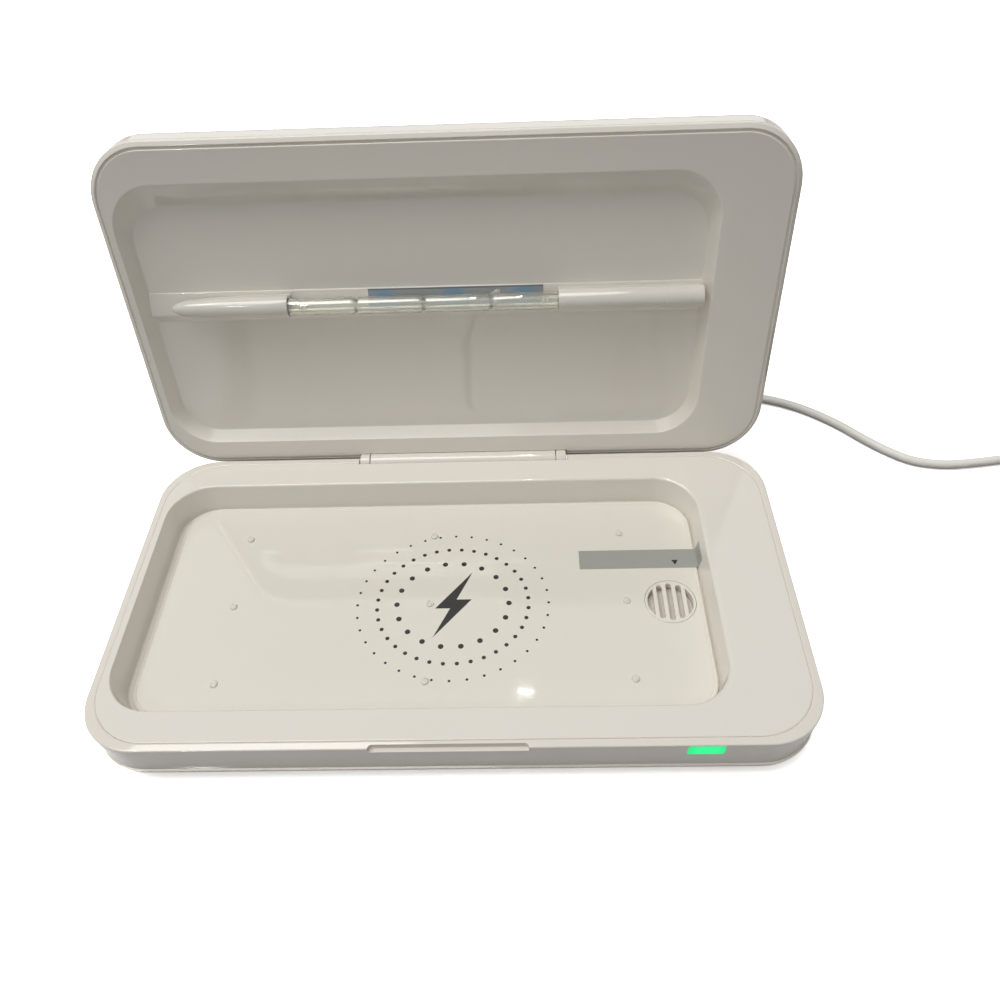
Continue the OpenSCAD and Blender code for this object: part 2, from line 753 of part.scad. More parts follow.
// Radius and height of the coil after a number of turns
function coil_radius(s) = s < turns_in ? coil_r - coil_pitch * s : coil_inner + coil_pitch * max(0, s - turns_in - turns_climb);
function coil_rise(s) = coil_lift * (1 - cos(180 * max(0, min(1, (s - turns_in) / turns_climb)))) / 2;
function coil_point(s) =
    let (a = 90 - 360 * s)
    [coil_pos[0] + coil_radius(s) * cos(a), coil_pos[1] + coil_radius(s) * sin(a), coil_z + coil_rise(s)];
coil_path = concat(
    [[coil_pos[0] - 4, coil_pos[1] + coil_r, coil_z]],
    [for (i = [0:coil_steps * coil_turns]) coil_point(i / coil_steps)],
    [[coil_end_x, coil_pos[1] - 4, coil_z + coil_lift]]
);

// Distance from a point to a stretch of the path
function to_stretch(p, a, b) =
    let (ab = b - a, t = max(0, min(1, (p - a) * ab / (ab * ab)))) norm(p - a - t * ab);
coil_gap = min([for (i = [0:len(coil_path) - 1], j = [i + 6:len(coil_path) - 2])
    to_stretch(coil_path[i], coil_path[j], coil_path[j + 1])]) - cord_d;
echo(coil_gap_mm = coil_gap);

module cord_coil() color(cord_white) {
    tube_along(coil_path, cord_d / 2, 6);
}

module cord_tail() color(cord_white) {
    tube_along(tail_route, cord_d / 2, 8);
}

// Flat band round the coil's turns, lying on the table
module cord_tie() color([0.35, 0.35, 0.36]) {
    low = coil_inner - cord_d / 2 - 0.3;
    high = coil_r + cord_d / 2 + 0.3;
    top = coil_z + coil_lift + cord_d / 2 + 0.2;
    translate([coil_pos[0], coil_pos[1] + 4, 0]) rotate([90, 0, 0]) linear_extrude(height = 8) difference() {
        translate([-high - tie_t, 0]) square([high - low + 2 * tie_t, top + tie_t]);
        translate([-high, tie_t]) square([high - low, top - tie_t]);
    }
}

module usb_plug() color(cord_white) {
    x = coil_end_x + 0.2;
    rod_y(2.4, usb_y - 8, usb_y, x, 4);
    block([x - 7.5, usb_y - 32, 0.1], [x + 7.5, usb_y - 8, 7.9]);
}

module usb_shell() color("silver") {
    x = coil_end_x + 0.2;
    difference() {
        block([x - 6, usb_y - 44, 1.75], [x + 6, usb_y - 32, 6.25]);
        block([x - 5.6, usb_y - 45, 4], [x + 5.6, usb_y - 34, 5.85]);
    }
}

base_shell();
bottom_cover();
tray_bezel();
charging_plate();
phone_bumps();
charge_coil();
ferrite_sheet();
charger_board();
control_board();
lid_sensor();
indicator_light();
indicator_board();
aroma_grille();
aroma_reservoir();
aroma_pad();
instruction_strip();
power_socket();
rubber_feet();
base_screws();
lid_cover();
lid_liner();
hinge_pins();
lamp_tube();
lamp_electrodes();
lamp_grommets();
lamp_cover_left();
lamp_cover_right();
lamp_strip();
lamp_board();
button_board();
lid_magnet();
start_button();
power_plug();
plug_barrel();
cord_lead();
cord_coil();
cord_tail();
cord_tie();
usb_plug();
usb_shell();
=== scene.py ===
"""Looks of a phone sanitizer box: a charging tray with an aroma diffuser under a lid with a lamp.

Forms are shaped in millimetres. The lid's forms are shaped closed and swung open when they are
placed. A chain of rings often starts and ends with one that lies a few millimetres inside the flat
end that it closes, which keeps the shading of that end even.
"""

import logging
import math
from collections.abc import Iterable, Sequence
from dataclasses import dataclass, field
from enum import Enum

import bmesh
import bpy
from mathutils import Matrix, Vector

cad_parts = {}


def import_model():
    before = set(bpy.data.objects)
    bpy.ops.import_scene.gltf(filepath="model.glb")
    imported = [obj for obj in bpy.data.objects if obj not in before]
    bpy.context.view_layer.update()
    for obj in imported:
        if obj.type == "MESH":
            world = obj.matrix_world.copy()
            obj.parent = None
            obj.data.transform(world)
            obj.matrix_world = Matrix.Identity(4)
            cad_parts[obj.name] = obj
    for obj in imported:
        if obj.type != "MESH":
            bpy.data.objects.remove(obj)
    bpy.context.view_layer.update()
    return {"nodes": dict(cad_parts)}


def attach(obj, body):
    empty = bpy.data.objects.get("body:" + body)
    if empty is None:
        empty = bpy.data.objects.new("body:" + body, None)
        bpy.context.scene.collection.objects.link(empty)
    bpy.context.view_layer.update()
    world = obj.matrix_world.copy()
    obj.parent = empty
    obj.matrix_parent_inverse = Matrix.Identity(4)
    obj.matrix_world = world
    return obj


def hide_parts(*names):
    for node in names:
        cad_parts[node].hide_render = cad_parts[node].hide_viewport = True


MM = 0.001
CORNER_STEPS = 16  # faces on each corner of an outline
BROAD = 2.0  # a rounding larger than this gets the fine steps
FINE_TURN = 7.0  # degrees for each face of a broad rounding
COARSE_TURN = 16.0  # degrees for each face of a narrow one
HOLD = 0.12  # how far a holding ring stands from a rounding
ROOMY = 5 * HOLD  # the shortest flat stretch that gets holding rings
MERGE = 1e-5  # points closer than this become one
SHARP_ANGLE = math.radians(29)
PAST = 1.0  # how far a cutting form reaches past what it cuts

Colour = tuple[float, float, float]
Place = tuple[float, float, float]
Flat = tuple[float, float]
Socket = bpy.types.NodeSocket

log = logging.getLogger("sanitizer_box")


class Body(Enum):
    """The parts of the box that move on their own."""

    BASE = "base"
    LID = "lid"
    BUTTON = "button"


class Carving(Enum):
    """Ways of combining two forms."""

    CUT = "DIFFERENCE"
    JOIN = "UNION"


class Axis(Enum):
    """Directions that a form drawn upright can be laid along."""

    X = Matrix.Rotation(math.radians(90), 4, "Y")
    Y = Matrix.Rotation(math.radians(-90), 4, "X")  # an outline's y then runs down
    Z = Matrix.Identity(4)


class Slot(Enum):
    """The record's material slots."""

    SHELL = "shell_white"
    TRAY = "tray_white"
    INNER = "inner_pale"
    BUMP = "bump_clear"
    BLACK = "black_plastic"
    LIGHT = "light_green"
    STRIP = "strip_grey"
    FOOT = "foot_rubber"
    STEEL = "steel"
    GLASS = "glass_tube"
    LAMP_STRIP = "strip_blue"
    BUTTON = "button_white"
    TIE = "tie_cloth"
    CORD = "cord_white"


# ---------------------------------------------------------------- finishes


class Value:
    """An output of a material's nodes that can be used in sums."""

    def __init__(self, shader: "Shader", socket: Socket) -> None:
        """Keeps the shader and the output."""
        self.shader = shader
        self.socket = socket

    def _with(self, operation: str, first: "Value | float", second: "Value | float") -> "Value":
        """Makes a sum of two values."""
        node = self.shader.node("ShaderNodeMath", {0: first, 1: second}, operation=operation)
        return Value(self.shader, node.outputs[0])

    def __add__(self, other: "Value | float") -> "Value":
        """Adds."""
        return self._with("ADD", self, other)

    __radd__ = __add__

    def __sub__(self, other: "Value | float") -> "Value":
        """Subtracts."""
        return self._with("SUBTRACT", self, other)

    def __mul__(self, other: "Value | float") -> "Value":
        """Multiplies."""
        return self._with("MULTIPLY", self, other)

    def __truediv__(self, other: "Value | float") -> "Value":
        """Divides."""
        return self._with("DIVIDE", self, other)

    def __rtruediv__(self, other: "Value | float") -> "Value":
        """Divides another value by this one."""
        return self._with("DIVIDE", other, self)

    def __gt__(self, other: "Value | float") -> "Value":
        """Gives 1 where this value is the larger one."""
        return self._with("GREATER_THAN", self, other)

    def __pow__(self, other: float) -> "Value":
        """Raises to a power."""
        return self._with("POWER", self, other)

    def sine(self) -> "Value":
        """Takes the sine."""
        return self._with("SINE", self, 0.0)

    def wave(self) -> "Value":
        """Takes the sine, from 0 to 1."""
        return self.sine() * 0.5 + 0.5

    def smaller(self, other: "Value | float") -> "Value":
        """Takes the smaller of two values."""
        return self._with("MINIMUM", self, other)

    def larger(self, other: "Value | float") -> "Value":
        """Takes the larger of two values."""
        return self._with("MAXIMUM", self, other)


def paint(red: int, green: int, blue: int) -> Colour:
    """Turns a colour as it looks on a screen, with parts from 0 to 255, into linear light."""
    parts = (part / 255 for part in (red, green, blue))
    return tuple(p / 12.92 if p <= 0.04045 else ((p + 0.055) / 1.055) ** 2.4 for p in parts)


def tinted(colour: Colour, by: float) -> Colour:
    """Makes a colour lighter or darker by a factor."""
    return tuple(min(1.0, part * by) for part in colour)


def wire(tree: bpy.types.NodeTree, *links: tuple[Socket, Socket]) -> None:
    """Links outputs to inputs, in pairs."""
    for start, end in links:
        tree.links.new(start, end)


def shader_nodes(tree: bpy.types.NodeTree, *kinds: str) -> list[bpy.types.Node]:
    """Makes shader nodes by the ends of their type names."""
    return [tree.nodes.new(f"ShaderNode{kind}") for kind in kinds]


class Shader:
    """A material's nodes round one surface shader."""

    def __init__(self, name: str) -> None:
        """Starts the material.

        Args:
            name: The material's name.
        """
        self.material = bpy.data.materials.new(name)
        self.material.use_nodes = True
        self.tree = self.material.node_tree
        self.tree.nodes.clear()
        self.surface = self.node("ShaderNodeBsdfPrincipled")
        output = self.node("ShaderNodeOutputMaterial")
        self.tree.links.new(self.surface.outputs[0], output.inputs["Surface"])
        self.place = Value(self, self.node("ShaderNodeTexCoord").outputs["Object"])
        split = self.node("ShaderNodeSeparateXYZ", {0: self.place})
        self.x, self.y, self.z = (Value(self, output) for output in split.outputs)

    def node(self, kind: str, inputs: dict | None = None, **options: object) -> bpy.types.Node:
        """Makes a node.

        Args:
            kind: The node's type.
            inputs: Values or outputs for its inputs, by name or number.
            options: The node's own settings.

        Returns:
            The node.
        """
        made = self.tree.nodes.new(kind)
        for name, option in options.items():
            setattr(made, name, option)
        for key, given in (inputs or {}).items():
            if isinstance(given, Value):
                self.tree.links.new(given.socket, made.inputs[key])
            else:
                made.inputs[key].default_value = given
        return made

    def set(self, **constants: float | Colour) -> None:
        """Sets constants on the surface shader.

        Args:
            constants: Numbers and colours by socket, with _ for a space in a socket's name.
        """
        for name, given in constants.items():
            if isinstance(given, tuple):
                given = (*given, 1.0)
            self.surface.inputs[name.replace("_", " ")].default_value = given

    def link(self, name: str, value: Value) -> None:
        """Links a value to one of the surface shader's inputs."""
        self.tree.links.new(value.socket, self.surface.inputs[name])

    def noise(self, scale: float, detail: float = 2.0, stretch: Colour = (1.0, 1.0, 1.0)) -> Value:
        """Makes cloudy noise over the object.

        Args:
            scale: Lumps per metre.
            detail: Levels of finer noise.
            stretch: Factors on the three axes.

        Returns:
            The noise, about 0 to 1.
        """
        place = self.node("ShaderNodeMapping", {"Vector": self.place, "Scale": stretch})
        inputs = {"Vector": Value(self, place.outputs[0]), "Scale": scale, "Detail": detail}
        return Value(self, self.node("ShaderNodeTexNoise", inputs).outputs[0])

    def blend(self, low: "Colour | Value", high: Colour, share: Value) -> Value:
        """Mixes two colours.

        Args:
            low: The colour at 0.
            high: The colour at 1.
            share: The share of the second colour.

        Returns:
            The mixed colour.
        """
        inputs = {0: share, 6: low if isinstance(low, Value) else (*low, 1.0), 7: (*high, 1.0)}
        mixed = self.node("ShaderNodeMix", inputs, data_type="RGBA")
        return Value(self, mixed.outputs[2])

    def cast(self, colour: Colour, darker: float, share: Value) -> None:
        """Colours the surface, with a factor on the colour where the share is 0."""
        self.link("Base Color", self.blend(tinted(colour, darker), colour, share))

    def dull(self, middle: float, spread: float, share: Value) -> None:
        """Roughens the surface about a middle value, with a spread from a share of 0 to 1."""
        self.link("Roughness", share * spread + (middle - spread / 2))

    def relief(self, height: Value, depth: float) -> None:
        """Gives the surface a fine relief, where a height of 1 stands for a depth in metres."""
        inputs = {"Height": height, "Distance": depth, "Strength": 1.0}
        self.link("Normal", Value(self, self.node("ShaderNodeBump", inputs).outputs[0]))

    def glow(self, places: Sequence[float], reach: float, power: int) -> "Value | float":
        """Adds up spots along X, each 1 at its place.

        Args:
            places: Where the spots are.
            reach: How far from its place a spot has fallen to a half.
            power: How steeply it falls.

        Returns:
            The sum of the spots.
        """
        total = 0.0
        for place in places:
            away = (self.x - place) / reach
            fall = away
            for _ in range(power - 1):
                fall = fall * away
            total = total + 1.0 / (fall + 1.0)
        return total


@dataclass(frozen=True)
class Finish:
    """A material by name, made once."""

    name: str
    colour: Colour

    def material(self) -> bpy.types.Material:
        """Gives the material and makes it on first use.

        Returns:
            The material.
        """
        found = bpy.data.materials.get(self.name)
        if found:
            return found
        shader = Shader(self.name)
        self.dress(shader)
        return shader.material

    def dress(self, shader: Shader) -> None:
        """Sets up the material's nodes."""
        raise NotImplementedError


@dataclass(frozen=True)
class GlossPlastic(Finish):
    """Polished moulded plastic with a faint ripple and slightly uneven gloss."""

    gloss: float = 0.07

    def dress(self, shader: Shader) -> None:
        """Sets up the polish, its unevenness and the ripple.

        Args:
            shader: The material's nodes.
        """
        cloud = shader.noise(26.0, 3.0)
        shader.cast(self.colour, 0.97, cloud)
        shader.dull(self.gloss, 0.06, shader.noise(85.0, 4.0, (1.0, 0.35, 1.0)))
        shader.set(Coat_Roughness=0.02, Specular_IOR_Level=0.5)
        shader.link("Coat Weight", cloud * 0.1 + 0.35)
        shader.relief(shader.noise(150.0, 1.0), 0.00001)


@dataclass(frozen=True)
class SatinPlastic(Finish):
    """Moulded plastic with a fine spark texture."""

    roughness: float = 0.42

    def dress(self, shader: Shader) -> None:
        """Sets up the texture.

        Args:
            shader: The material's nodes.
        """
        grain = shader.noise(2600.0)
        shader.cast(self.colour, 0.94, shader.noise(60.0, 3.0))
        shader.dull(self.roughness, 0.12, grain)
        shader.relief(grain, 0.00002)


@dataclass(frozen=True)
class SoftSkin(Finish):
    """Rubber, silicone or a cord's jacket: dull, with fine grain and a little dust."""

    roughness: float = 0.5
    clearness: float = 0.0

    def dress(self, shader: Shader) -> None:
        """Sets up the skin.

        Args:
            shader: The material's nodes.
        """
        dust = shader.noise(420.0, 5.0)
        shader.cast(self.colour, 0.9, dust)
        shader.dull(self.roughness, 0.18, dust)
        shader.set(Transmission_Weight=self.clearness, IOR=1.42)
        shader.relief(shader.noise(3200.0, 1.0), 0.000012)


@dataclass(frozen=True)
class Glass(Finish):
    """Clear lamp glass with faint draw lines."""

    def dress(self, shader: Shader) -> None:
        """Sets up the glass.

        Args:
            shader: The material's nodes.
        """
        shader.set(Base_Color=self.colour, Transmission_Weight=0.96, IOR=1.46)
        shader.set(Coat_Weight=1.0, Coat_IOR=1.7, Coat_Roughness=0.02)
        lines = shader.noise(300.0, 2.0, (0.08, 1.0, 1.0))
        shader.link("Roughness", lines * 0.03)
        shader.relief(lines, 0.00003)


@dataclass(frozen=True)
class Metal(Finish):
    """Plated metal with fine brushing."""

    roughness: float = 0.28

    def dress(self, shader: Shader) -> None:
        """Sets up the brushing.

        Args:
            shader: The material's nodes.
        """
        lines = shader.noise(1800.0, 3.0, (0.2, 1.0, 1.0))
        shader.set(Metallic=1.0)
        shader.cast(self.colour, 0.82, shader.noise(160.0, 3.0))
        shader.dull(self.roughness, 0.16, lines)
        shader.relief(lines, 0.000008)


@dataclass(frozen=True)
class Film(Finish):
    """Printed film or ink: even, with a slight texture."""

    roughness: float = 0.35

    def dress(self, shader: Shader) -> None:
        """Sets up the print.

        Args:
            shader: The material's nodes.
        """
        speckle = shader.noise(900.0, 3.0)
        shader.cast(self.colour, 0.92, speckle)
        shader.dull(self.roughness, 0.1, speckle)
        shader.relief(speckle, 0.000006)


@dataclass(frozen=True)
class BluePrint(Film):
    """Grey film with soft blue patches and a painted shadow along its upper edge."""

    blue: Colour = paint(116, 152, 182)
    # painted shadow: this darker colour stands for the shade along the strip's upper edge
    edge: Colour = paint(108, 114, 120)
    patches: tuple[float, ...] = (-0.0235, 0.0005, 0.0245)
    reach: float = 0.0035
    shadow_line_height: float = 0.0840

    def dress(self, shader: Shader) -> None:
        """Sets up the patches and the painted shadow along the upper edge.

        Args:
            shader: The material's nodes.
        """
        super().dress(shader)
        near = shader.glow(self.patches, self.reach, 4)
        blue = shader.blend(self.colour, self.blue, near.smaller(1.0) * 0.85)
        # paints shade above the shadow line's height: the edge colour stands for the shadow there
        shader.link("Base Color", shader.blend(blue, self.edge, shader.z > self.shadow_line_height))


@dataclass(frozen=True)
class LitLight(Finish):
    """A light guide that glows, brighter over its two lamps."""

    power: float = 0.9
    lamps: tuple[float, float] = (0.0722, 0.0768)
    reach: float = 0.0028

    def dress(self, shader: Shader) -> None:
        """Sets up the glow.

        Args:
            shader: The material's nodes.
        """
        glow = (shader.glow(self.lamps, self.reach, 2) * 0.8).smaller(1.0)
        shader.link("Emission Color", shader.blend(tinted(self.colour, 0.72), self.colour, glow))
        shader.set(Base_Color=tinted(self.colour, 0.1), Specular_IOR_Level=0.15)
        shader.set(Emission_Strength=self.power)
        shader.link("Roughness", shader.noise(700.0) * 0.1 + 0.2)


@dataclass(frozen=True)
class Felt(Finish):
    """Pressed felt with loose fibres."""

    def dress(self, shader: Shader) -> None:
        """Sets up the fibres.

        Args:
            shader: The material's nodes.
        """
        fibres = shader.noise(2200.0, 6.0, (1.0, 0.3, 1.0))
        shader.cast(self.colour, 0.78, fibres)
        shader.set(Roughness=0.95, Sheen_Weight=0.3)
        shader.relief(fibres, 0.00012)


@dataclass(frozen=True)
class CircuitBoard(Finish):
    """Lacquered board with straight copper tracks under the lacquer and pale parts on top."""

    def dress(self, shader: Shader) -> None:
        """Sets up the tracks.

        Args:
            shader: The material's nodes.
        """
        across = (shader.x * 2600.0).sine() > 0.55
        along = (shader.y * 3100.0 + shader.noise(90.0) * 9.0).sine() > 0.7
        tracks = across.larger(along) * (shader.noise(130.0) > 0.47)
        shader.link("Base Color", shader.blend(self.colour, tinted(self.colour, 2.1), tracks))
        shader.link("Roughness", tracks * 0.1 + 0.28)
        shader.relief(tracks, 0.00003)


@dataclass(frozen=True)
class Winding(Finish):
    """Enamelled wire wound in a flat spiral round a centre."""

    centre: Flat = (-0.0015, -0.0022)
    wire: float = 0.0009

    def dress(self, shader: Shader) -> None:
        """Sets up the turns of wire.

        Args:
            shader: The material's nodes.
        """
        dx, dy = shader.x - self.centre[0], shader.y - self.centre[1]
        radius = (dx * dx + dy * dy) ** 0.5
        turns = (radius * (2 * math.pi / self.wire)).wave()
        shader.cast(self.colour, 0.45, turns)
        shader.set(Metallic=1.0)
        shader.link("Roughness", turns * -0.15 + 0.42)
        shader.relief(turns, 0.0003)


@dataclass(frozen=True)
class Weave(Finish):
    """Woven hook-and-loop band."""

    thread: float = 0.0006

    def dress(self, shader: Shader) -> None:
        """Sets up the threads.

        Args:
            shader: The material's nodes.
        """
        turn = 2 * math.pi / self.thread
        cloth = (shader.y * turn).wave() * ((shader.x + shader.z) * turn).wave()
        shader.cast(self.colour, 0.5, cloth)
        shader.set(Roughness=0.9, Sheen_Weight=0.25)
        shader.relief(cloth, 0.00015)


SHELL = GlossPlastic("white_gloss_shell", paint(233, 228, 219), gloss=0.06)
TRAY = GlossPlastic("white_gloss_tray", paint(235, 231, 223), gloss=0.06)
LINER = GlossPlastic("white_gloss_liner", paint(234, 230, 222), gloss=0.04)
PLATE = GlossPlastic("white_plate", paint(232, 229, 219), gloss=0.06)
LAMP_COVER = GlossPlastic("white_lamp_cover", paint(222, 219, 211), gloss=0.1)
BUTTON = GlossPlastic("white_button", paint(238, 234, 226), gloss=0.12)
UNDERSIDE = SatinPlastic("white_underside", paint(226, 222, 214))
INNER = SatinPlastic("pale_inner_plastic", paint(214, 211, 205))
BLACK = SatinPlastic("black_inner_plastic", paint(30, 30, 32))
SILICONE = SoftSkin("milky_silicone", paint(250, 248, 242), 0.3, 0.35)
GROMMET = SoftSkin("grey_silicone", paint(196, 196, 194), 0.45)
RUBBER = SoftSkin("dark_rubber", paint(52, 52, 54), 0.62)
JACKET = SoftSkin("white_cord_jacket", paint(251, 249, 244), 0.38)
CORD_MOULDING = SoftSkin("white_cord_moulding", paint(240, 237, 231), 0.34)
LAMP_GLASS = Glass("lamp_glass", (0.82, 0.82, 0.76))
STEEL = Metal("bright_steel", (0.78, 0.78, 0.76))
TUNGSTEN = Metal("electrode_metal", (0.72, 0.69, 0.62), 0.35)
INK = Film("dark_ink", paint(30, 30, 29), 0.45)
GREY_STRIP = Film("grey_film", paint(164, 166, 161), 0.3)
BLUE_STRIP = BluePrint("blue_film", paint(150, 156, 158), 0.22)
GREEN_LIGHT = LitLight("green_light", paint(0, 255, 148))
FELT = Felt("pressed_felt", paint(236, 228, 220))
BOARD = CircuitBoard("green_board", paint(20, 92, 60))
COPPER = Winding("copper_winding", paint(214, 138, 96))
FERRITE = SatinPlastic("dark_ferrite", paint(62, 62, 64), 0.6)
BAND = Weave("grey_band", paint(92, 92, 94))


# ---------------------------------------------------------------- forms


@dataclass(frozen=True)
class Outline:
    """A rounded rectangle seen from above."""

    width: float
    depth: float
    radius: float
    x: float = 0.0
    y: float = 0.0

    def inset(self, by: float) -> "Outline":
        """Draws the outline in on all sides."""
        radius = max(self.radius - by, 0.02)
        return Outline(self.width - 2 * by, self.depth - 2 * by, radius, self.x, self.y)

    def towards(self, other: "Outline", share: float) -> "Outline":
        """Gives an outline between this one and another.

        Args:
            other: The other outline.
            share: How far toward the other one it is, 0 to 1.

        Returns:
            The outline between.
        """
        mine = (self.width, self.depth, self.radius, self.x, self.y)
        theirs = (other.width, other.depth, other.radius, other.x, other.y)
        return Outline(*(a + (b - a) * share for a, b in zip(mine, theirs)))

    def points(self) -> list[Flat]:
        """Gives the outline's points.

        Returns:
            The points, as many for every outline.
        """
        result = []
        for turn, (right, back) in enumerate(((1, 1), (-1, 1), (-1, -1), (1, -1))):
            x = self.x + right * (self.width / 2 - self.radius)
            y = self.y + back * (self.depth / 2 - self.radius)
            for step in range(CORNER_STEPS + 1):
                angle = math.radians(90 * (turn + step / CORNER_STEPS))
                across, along = self.radius * math.cos(angle), self.radius * math.sin(angle)
                result.append((x + across, y + along))
        return result


def circle(radius: float) -> Outline:
    """Gives a round outline."""
    return Outline(2 * radius, 2 * radius, radius)


@dataclass(frozen=True)
class Ring:
    """An outline at a height, with the radius of the corner that the surface makes there."""

    outline: Outline
    z: float
    rounding: float = 0.0

    def towards(self, other: "Ring", share: float) -> "Ring":
        """Gives a ring between this one and another."""
        return Ring(self.outline.towards(other.outline, share), self.z + (other.z - self.z) * share)

    def reach(self, other: "Ring") -> Vector:
        """Gives the step to another ring.

        Args:
            other: The other ring.

        Returns:
            The step outward and the step up.
        """
        out = max(
            (other.outline.width - self.outline.width) / 2,
            (other.outline.depth - self.outline.depth) / 2,
            key=abs,
        )
        return Vector((out, other.z - self.z))


def eased(corners: Sequence[Ring], closed: bool = False) -> list[Ring]:
    """Rounds the corners of a chain of rings.

    A holding ring beside each rounding keeps the flat stretches flat in the shading.

    Args:
        corners: The rings, each with its own rounding.
        closed: Whether the last ring is joined to the first.

    Returns:
        The rings of the finished surface.
    """
    count = len(corners)
    result = []
    for i, corner in enumerate(corners):
        if corner.rounding <= 0 or not (closed or 0 < i < count - 1):
            result.append(corner)
            continue
        before, after = corners[i - 1], corners[(i + 1) % count]
        back, on = corner.reach(before), corner.reach(after)
        turn = math.pi - back.angle(on)
        cut = corner.rounding * math.tan(turn / 2)
        start = corner.towards(before, cut / back.length)
        end = corner.towards(after, cut / on.length)
        weight = math.cos(turn / 2)
        each = FINE_TURN if corner.rounding > BROAD else COARSE_TURN
        steps = max(3, math.ceil(math.degrees(turn) / each))
        if back.length - cut > ROOMY:
            result.append(corner.towards(before, (cut + HOLD) / back.length))
        for step in range(steps + 1):
            t = step / steps
            first, middle, last = (1 - t) ** 2, 2 * t * (1 - t) * weight, t * t
            whole = first + middle + last
            near = start.towards(corner, middle / (first + middle)) if first + middle else corner
            result.append(near.towards(end, last / whole) if last else near)
        if on.length - cut > ROOMY:
            result.append(corner.towards(after, (cut + HOLD) / on.length))
    return result


class Form:
    """A closed shape that is lofted, cut and joined before it becomes a piece."""

    def __init__(self, name: str) -> None:
        """Starts an empty form."""
        self.name = name
        self.mesh = bpy.data.meshes.new(name)

    def skin(
        self,
        rows: Sequence[Sequence[Place]],
        closed: bool = False,
        cavity: bool = False,
        matrix: Matrix = Matrix.Identity(4),
    ) -> "Form":
        """Adds a closed surface over rows of points.

        Args:
            rows: The rows, each a loop with the same number of points.
            closed: Whether the last row is joined to the first, and not capped.
            cavity: Whether the surface bounds a hollow, so that it faces inward.
            matrix: Where the surface is put.

        Returns:
            This form.
        """
        work = bmesh.new()
        lines = [[work.verts.new(matrix @ Vector(point)) for point in row] for row in rows]
        size = len(lines[0])
        pairs = list(zip(lines, lines[1:])) + ([(lines[-1], lines[0])] if closed else [])
        for low, high in pairs:
            for k in range(size):
                n = (k + 1) % size
                work.faces.new((low[k], low[n], high[n], high[k]))
        if not closed:
            work.faces.new(lines[0][::-1])
            work.faces.new(lines[-1])
        bmesh.ops.remove_doubles(work, verts=work.verts, dist=MERGE)
        bmesh.ops.recalc_face_normals(work, faces=work.faces)
        if cavity:
            bmesh.ops.reverse_faces(work, faces=work.faces)
        work.from_mesh(self.mesh)
        work.to_mesh(self.mesh)
        work.free()
        return self

    def loft(
        self,
        corners: Sequence[Ring],
        closed: bool = False,
        cavity: bool = False,
        axis: Axis = Axis.Z,
        at: Place = (0.0, 0.0, 0.0),
    ) -> "Form":
        """Adds a closed surface through rings.

        Args:
            corners: The rings, with their roundings.
            closed: Whether the last ring is joined to the first.
            cavity: Whether the surface bounds a hollow.
            axis: The direction that the rings' height runs in.
            at: The place of the rings' origin.

        Returns:
            This form.
        """
        rings = eased(corners, closed)
        rows = [[(x, y, ring.z) for x, y in ring.outline.points()] for ring in rings]
        return self.skin(rows, closed, cavity, Matrix.Translation(at) @ axis.value)

    def turned(
        self,
        corners: Sequence[tuple[float, ...]],
        closed: bool = False,
        cavity: bool = False,
        axis: Axis = Axis.Z,
        at: Place = (0.0, 0.0, 0.0),
    ) -> "Form":
        """Adds a turned surface through corners (radius, place along the axis, rounding)."""
        rings = [Ring(circle(radius), *rest) for radius, *rest in corners]
        return self.loft(rings, closed, cavity, axis, at)

    def bar(self, section: Sequence[Flat], x0: float, x1: float) -> "Form":
        """Adds a bar along X with an even section (y, z)."""
        return self.skin([[(x, y, z) for y, z in section] for x in (x0, x1)])

    def prism(self, section: Sequence[Flat], z0: float, z1: float) -> "Form":
        """Adds an upright bar with an even section (x, y)."""
        return self.skin([[(x, y, z) for x, y in section] for z in (z0, z1)])

    def rod(
        self,
        radius: float,
        start: float,
        end: float,
        axis: Axis = Axis.Z,
        at: Place = (0.0, 0.0, 0.0),
        ease: float = 0.0,
    ) -> "Form":
        """Adds a round rod.

        Args:
            radius: Its radius.
            start: Where it starts along its axis.
            end: Where it ends.
            axis: The axis.
            at: A point on its middle line, with 0 along the axis.
            ease: The rounding of its ends.

        Returns:
            This form.
        """
        corners = [(radius, start, ease), (radius, end, ease)]
        if ease:
            core = max(radius - 3 * ease, radius * 0.3)
            corners = [(core, start), *corners, (core, end)]
        return self.turned(corners, axis=axis, at=at)

    def block(self, low: Place, high: Place, rounding: float = 0.02, ease: float = 0.0) -> "Form":
        """Adds a block between two corners, with rounded upright edges and eased flat ones.

        Args:
            low: The lowest corner.
            high: The highest corner.
            rounding: The rounding of the upright edges.
            ease: The rounding of the edges round the top and the bottom.

        Returns:
            This form.
        """
        (x0, y0, z0), (x1, y1, z1) = low, high
        outline = Outline(x1 - x0, y1 - y0, rounding, (x0 + x1) / 2, (y0 + y1) / 2)
        rings = [Ring(outline, z0, ease), Ring(outline, z1, ease)]
        if ease:
            core = outline.inset(2 * ease)
            rings = [Ring(core, z0), *rings, Ring(core, z1)]
        return self.loft(rings)

    def combine(self, tool: "Form", how: Carving) -> "Form":
        """Cuts another form out of this one or joins it on.

        Args:
            tool: The other form, which is used up.
            how: What is done.

        Returns:
            This form.
        """
        work = bpy.data.objects.new(self.name, self.mesh)
        cutter = bpy.data.objects.new(tool.name, tool.mesh)
        for item in (work, cutter):
            bpy.context.scene.collection.objects.link(item)
        step = work.modifiers.new("carving", "BOOLEAN")
        step.operation, step.solver, step.object = how.value, "EXACT", cutter
        graph = bpy.context.evaluated_depsgraph_get()
        self.mesh = bpy.data.meshes.new_from_object(work.evaluated_get(graph), depsgraph=graph)
        for item in (work, cutter):
            bpy.data.objects.remove(item)
        return self

    def cut(self, tool: "Form") -> "Form":
        """Cuts another form out of this one."""
        return self.combine(tool, Carving.CUT)

    def join(self, tool: "Form") -> "Form":
        """Joins another form on."""
        return self.combine(tool, Carving.JOIN)

